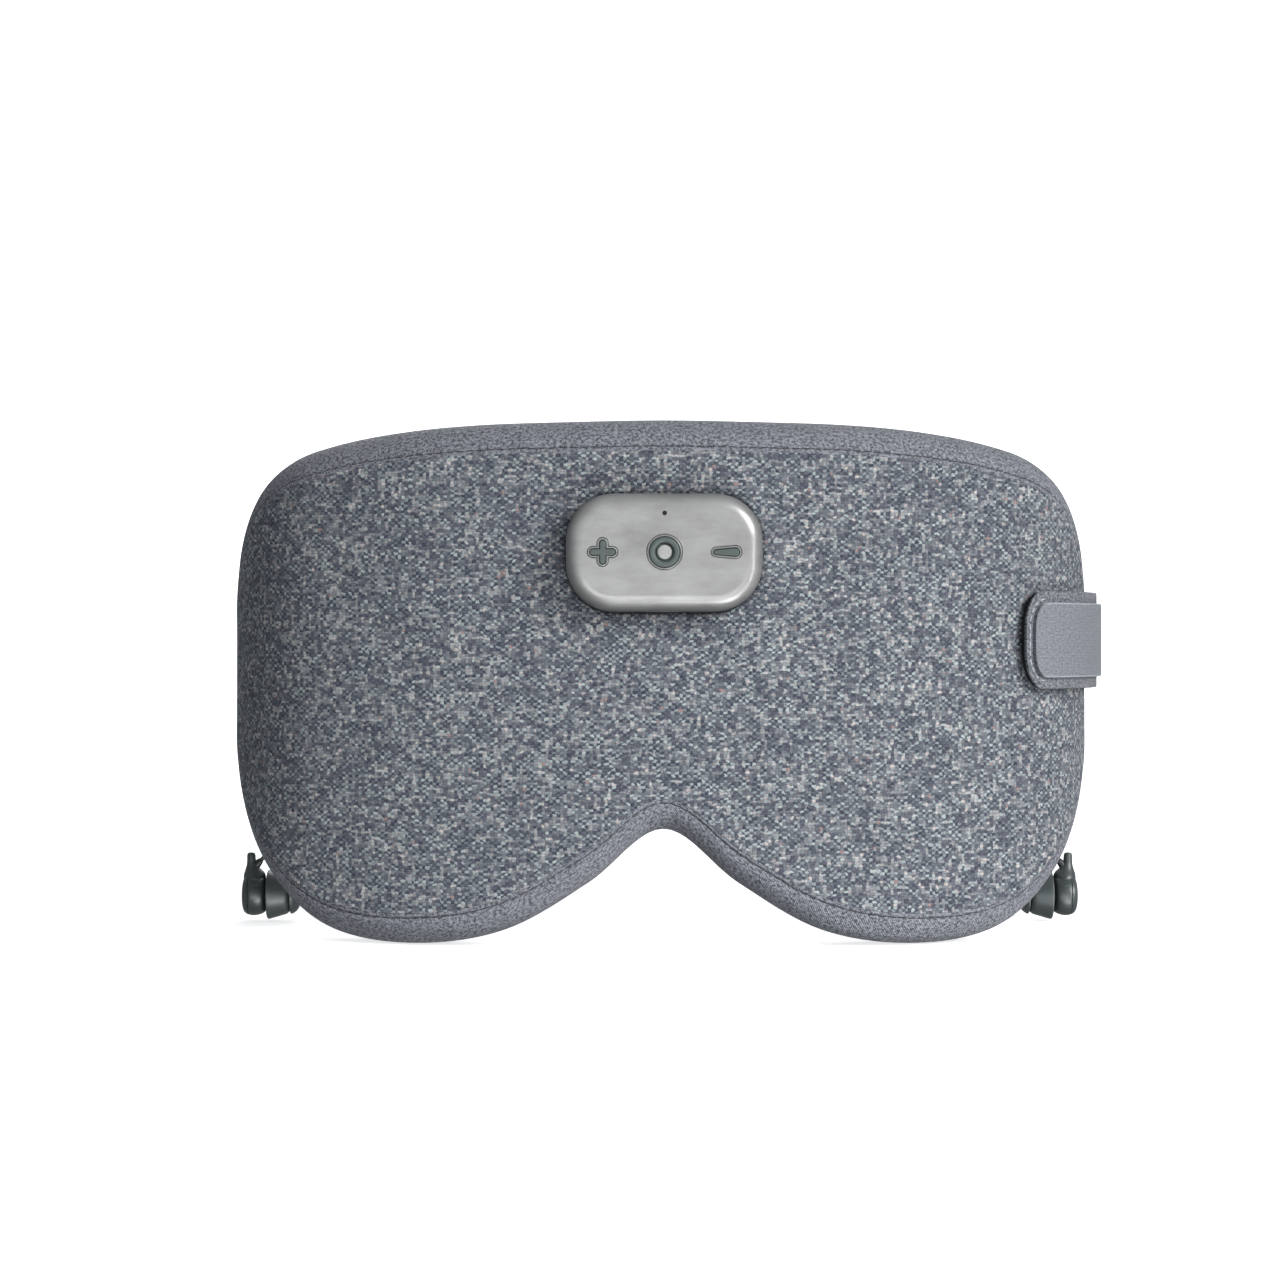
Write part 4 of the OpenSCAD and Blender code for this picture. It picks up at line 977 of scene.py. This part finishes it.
def ribbon(name, line, width, thick, half_width, edge, crown=0.0, bead=0.0):
    """A flat band on edge along a plan line of (x, y). half_width(t) is half its width at distance t from its start."""
    line = np.asarray(line, float)
    at, way = distances(line), directions(line)
    side = np.stack([way[:, 1], -way[:, 0]], axis=-1)
    half_t = thick / 2
    z = np.sin(np.linspace(-np.pi / 2, np.pi / 2, 25))
    bow = crown * (1 - z**2) + bead * np.exp(-(((1 - np.abs(z)) / 0.045) ** 2))
    arc = np.radians(np.linspace(90, -90, 7)[1:-1])
    rows, uvs = [], []
    for p, s, t in zip(line, side, at):
        h = width / 2 if half_width is None else half_width(t)
        flat = z * (h - edge)
        ring = [(half_t + b, f) for f, b in zip(flat, bow)]
        ring += [(half_t * math.sin(a), h - edge + edge * math.cos(a)) for a in arc]
        ring += [(-half_t - b, f) for f, b in zip(flat[::-1], bow[::-1])]
        ring += [(-half_t * math.sin(a), -(h - edge) - edge * math.cos(a)) for a in arc]
        rows.append(np.array([(p[0] + s[0] * n, p[1] + s[1] * n, f) for n, f in ring]))
        uvs.append(with_end(np.array([(t, f) for _, f in ring])))
    return sharpen(grid_mesh(name, rows, uvs, ends="fan"), 70)


def round_end(width, corner_s, corner_z):
    """Half the width of a band at distance t from its end, which is rounded over corner_s along and corner_z across."""
    def half(t):
        k = max(0.0, 1 - t / corner_s)
        return width / 2 - corner_z * (1 - math.sqrt(max(0.0, 1 - k * k)))
    return half


def flap_line(a, b, front, step=0.7):
    """Plan line over the right flap, from s = a to s = b, at a true distance in front of the fabric."""
    s = np.linspace(a, b, max(2, round((b - a) / step)))
    return np.stack(plan_point(s, -front), axis=-1)


def end_stations(line):
    """More stations near the start, for a round end."""
    share = np.array([0, 0.02, 0.08, 0.2, 0.4, 0.7])[:, None]
    return np.concatenate([line[0] + (line[1] - line[0]) * share, line[1:]])


pad_line = end_stations(flap_line(87.5, 127.8, 2.6))
pad_piece = ribbon("tab_pad_cloth", pad_line, 23.4, 0.8, round_end(23.4, 5.4, 8.7), 0.35, 0.06)
finish_piece(pad_piece, "tab_cloth", "strap_tab", ["tab_pad"])
backing = ribbon("tab_backing", end_stations(flap_line(87.4, 127.6, 1.7)), 23.0, 1.0, round_end(23.0, 5.4, 8.6), 0.2)
finish_piece(backing, "hook", "strap_tab")

STRAP_W, ARC_C, ARC_R_BACK = 18, 123.0, 79.0


def arc_line(a, b, n):
    a = np.radians(np.linspace(a, b, n))
    return np.stack([ARC_R_BACK * np.cos(a), ARC_C + ARC_R_BACK * np.sin(a)], axis=-1)


right_route = [(109.8, 31), (110.2, 37), (109.9, 43), (108.5, 50), (106.2, 58), (95.5, 87), (84.5, 118)]
left_route = [(99.8, 41), (99.8, 45), (98.9, 51), (97, 59), (90.2, 90), (82.9, 119)]
over = flap_line(89.3, 127.6, 3.56)
rest = smooth_path(np.concatenate([right_route, arc_line(16, 22, 2)]), 6)
webbing_line = smooth_path(np.concatenate([over[::4], rest[::3]]), 4)
webbing_end = round_end(STRAP_W, 3.7, 6.0)
band_right = ribbon("strap_band_right", end_stations(webbing_line), STRAP_W, 1.1, webbing_end, 0.2, 0, 0.05)
finish_piece(band_right, "tab_webbing", None, ["tab_webbing", "strap_right"])
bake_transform(band_right)

end_shape = round_end(19.4, 4.4, 6.6)
around_end = [(t, end_shape(t)) for t in (0.0, 0.1, 0.3, 0.7, 1.2, 1.9, 2.7, 3.6, 4.6)]
sewn = [(*plan_point(88.5 + along, -3.06), across) for along, across in
        [(t, -h) for t, h in around_end[::-1]] + around_end]
tab_seam = stitches("tab_stitching", smooth_path(sewn, 8), 1.25, 0.65, 0.12)
finish_piece(tab_seam, "pale_thread", "strap_tab")

left_line = smooth_path(np.concatenate([left_route, arc_line(16, 22, 2)]), 8) * (-1, 1)
band_left = ribbon("strap_band_left", left_line, STRAP_W, 1.5, None, 0.4, 0, 0.08)
finish_piece(band_left, "strap", "mask", ["strap_left"])
band_back = ribbon("strap_band_back", arc_line(15, 165, 110), STRAP_W, 1.7, None, 0.4, 0, 0.1)
finish_piece(band_back, "strap", "mask", ["strap_back"])

# Each join of the strap is sewn down in a box of stitches, from 16.3 to 21.3 degrees round the back's arc.
JOIN_A, JOIN_B, JOIN_H = 16.3, 21.3, 7.3
for word, side in SIDES:
    box = [(JOIN_A, z) for z in np.linspace(-JOIN_H, JOIN_H, 20)]
    box += [(a, JOIN_H) for a in np.linspace(JOIN_A, JOIN_B, 10)[1:]]
    box += [(JOIN_A + JOIN_B - a, -z) for a, z in box[1:]]
    a, z = np.array(box).T
    a, r = np.radians(a), ARC_R_BACK + 0.94
    path = np.stack([side * r * np.cos(a), ARC_C + r * np.sin(a), z], axis=-1)
    sewn_join = stitches(f"strap_join_stitching_{word}", path, 1.7, 0.6, 0.17)
    finish_piece(sewn_join, "pale_thread", "mask")

# ---- finishes of the CAD parts that stay
KEPT = {"front_foam": "foam", "spacer_foam": "foam", "rear_foam": "foam", "carrier_plate": "plate",
        "heating_film": "heater", "pod_base": "dark", "control_board": "board", "battery": "foil",
        "usb_c_socket": "steel", "status_light_guide": "guide", "key_switches": "dark", "pod_screws": "steel",
        "motor_capsule": "clear", "motor_can": "motor", "motor_shaft": "steel", "motor_weight": "brass",
        "wiring": "wire", "hook_patch": "hook", "cord_outlet": "cord", "bud_nozzle": "bud", "bud_driver": "driver"}
for name, o in nodes.items():
    stem = name.removesuffix("_left").removesuffix("_right")
    if stem in KEPT:
        o.data.materials.clear()
        o.data.materials.append(MAT[KEPT[stem]])

# ---- floor and backdrop


def stage_piece(name, corners, faces, glow):
    """A piece of the studio that glows a little and casts no bounce light on the object."""
    mesh = bpy.data.meshes.new(name)
    mesh.from_pydata(corners, [], faces)
    o = link(bpy.data.objects.new(name, mesh))
    s = Shader(name + "_paint", Roughness=0.8, Specular_IOR_Level=0.2, Emission_Strength=glow)
    s.base.inputs["Emission Color"].default_value = (1, 1, 1, 1)
    cloud = s.noise(s.place(), 0.02, 2.0)
    o.data.materials.append(s.finish(s.ramp(cloud, (0.3, (0.90, 0.90, 0.90)), (0.7, (0.93, 0.93, 0.93)))))
    o.visible_diffuse = o.visible_glossy = False
    return o


FLOOR = -0.0718
stage_piece("floor", [(-4, -4, FLOOR), (4, -4, FLOOR), (4, 4, FLOOR), (-4, 4, FLOOR)], [(0, 1, 2, 3)], 0.7)
walls = stage_piece("backdrop", [(x, y, z) for z in (FLOOR, 3) for x, y in ((-3, -3), (3, -3), (3, 2.6), (-3, 2.6))],
                    [(k, (k + 1) % 4, (k + 1) % 4 + 4, k + 4) for k in range(4)], 0.95)
walls.visible_shadow = False
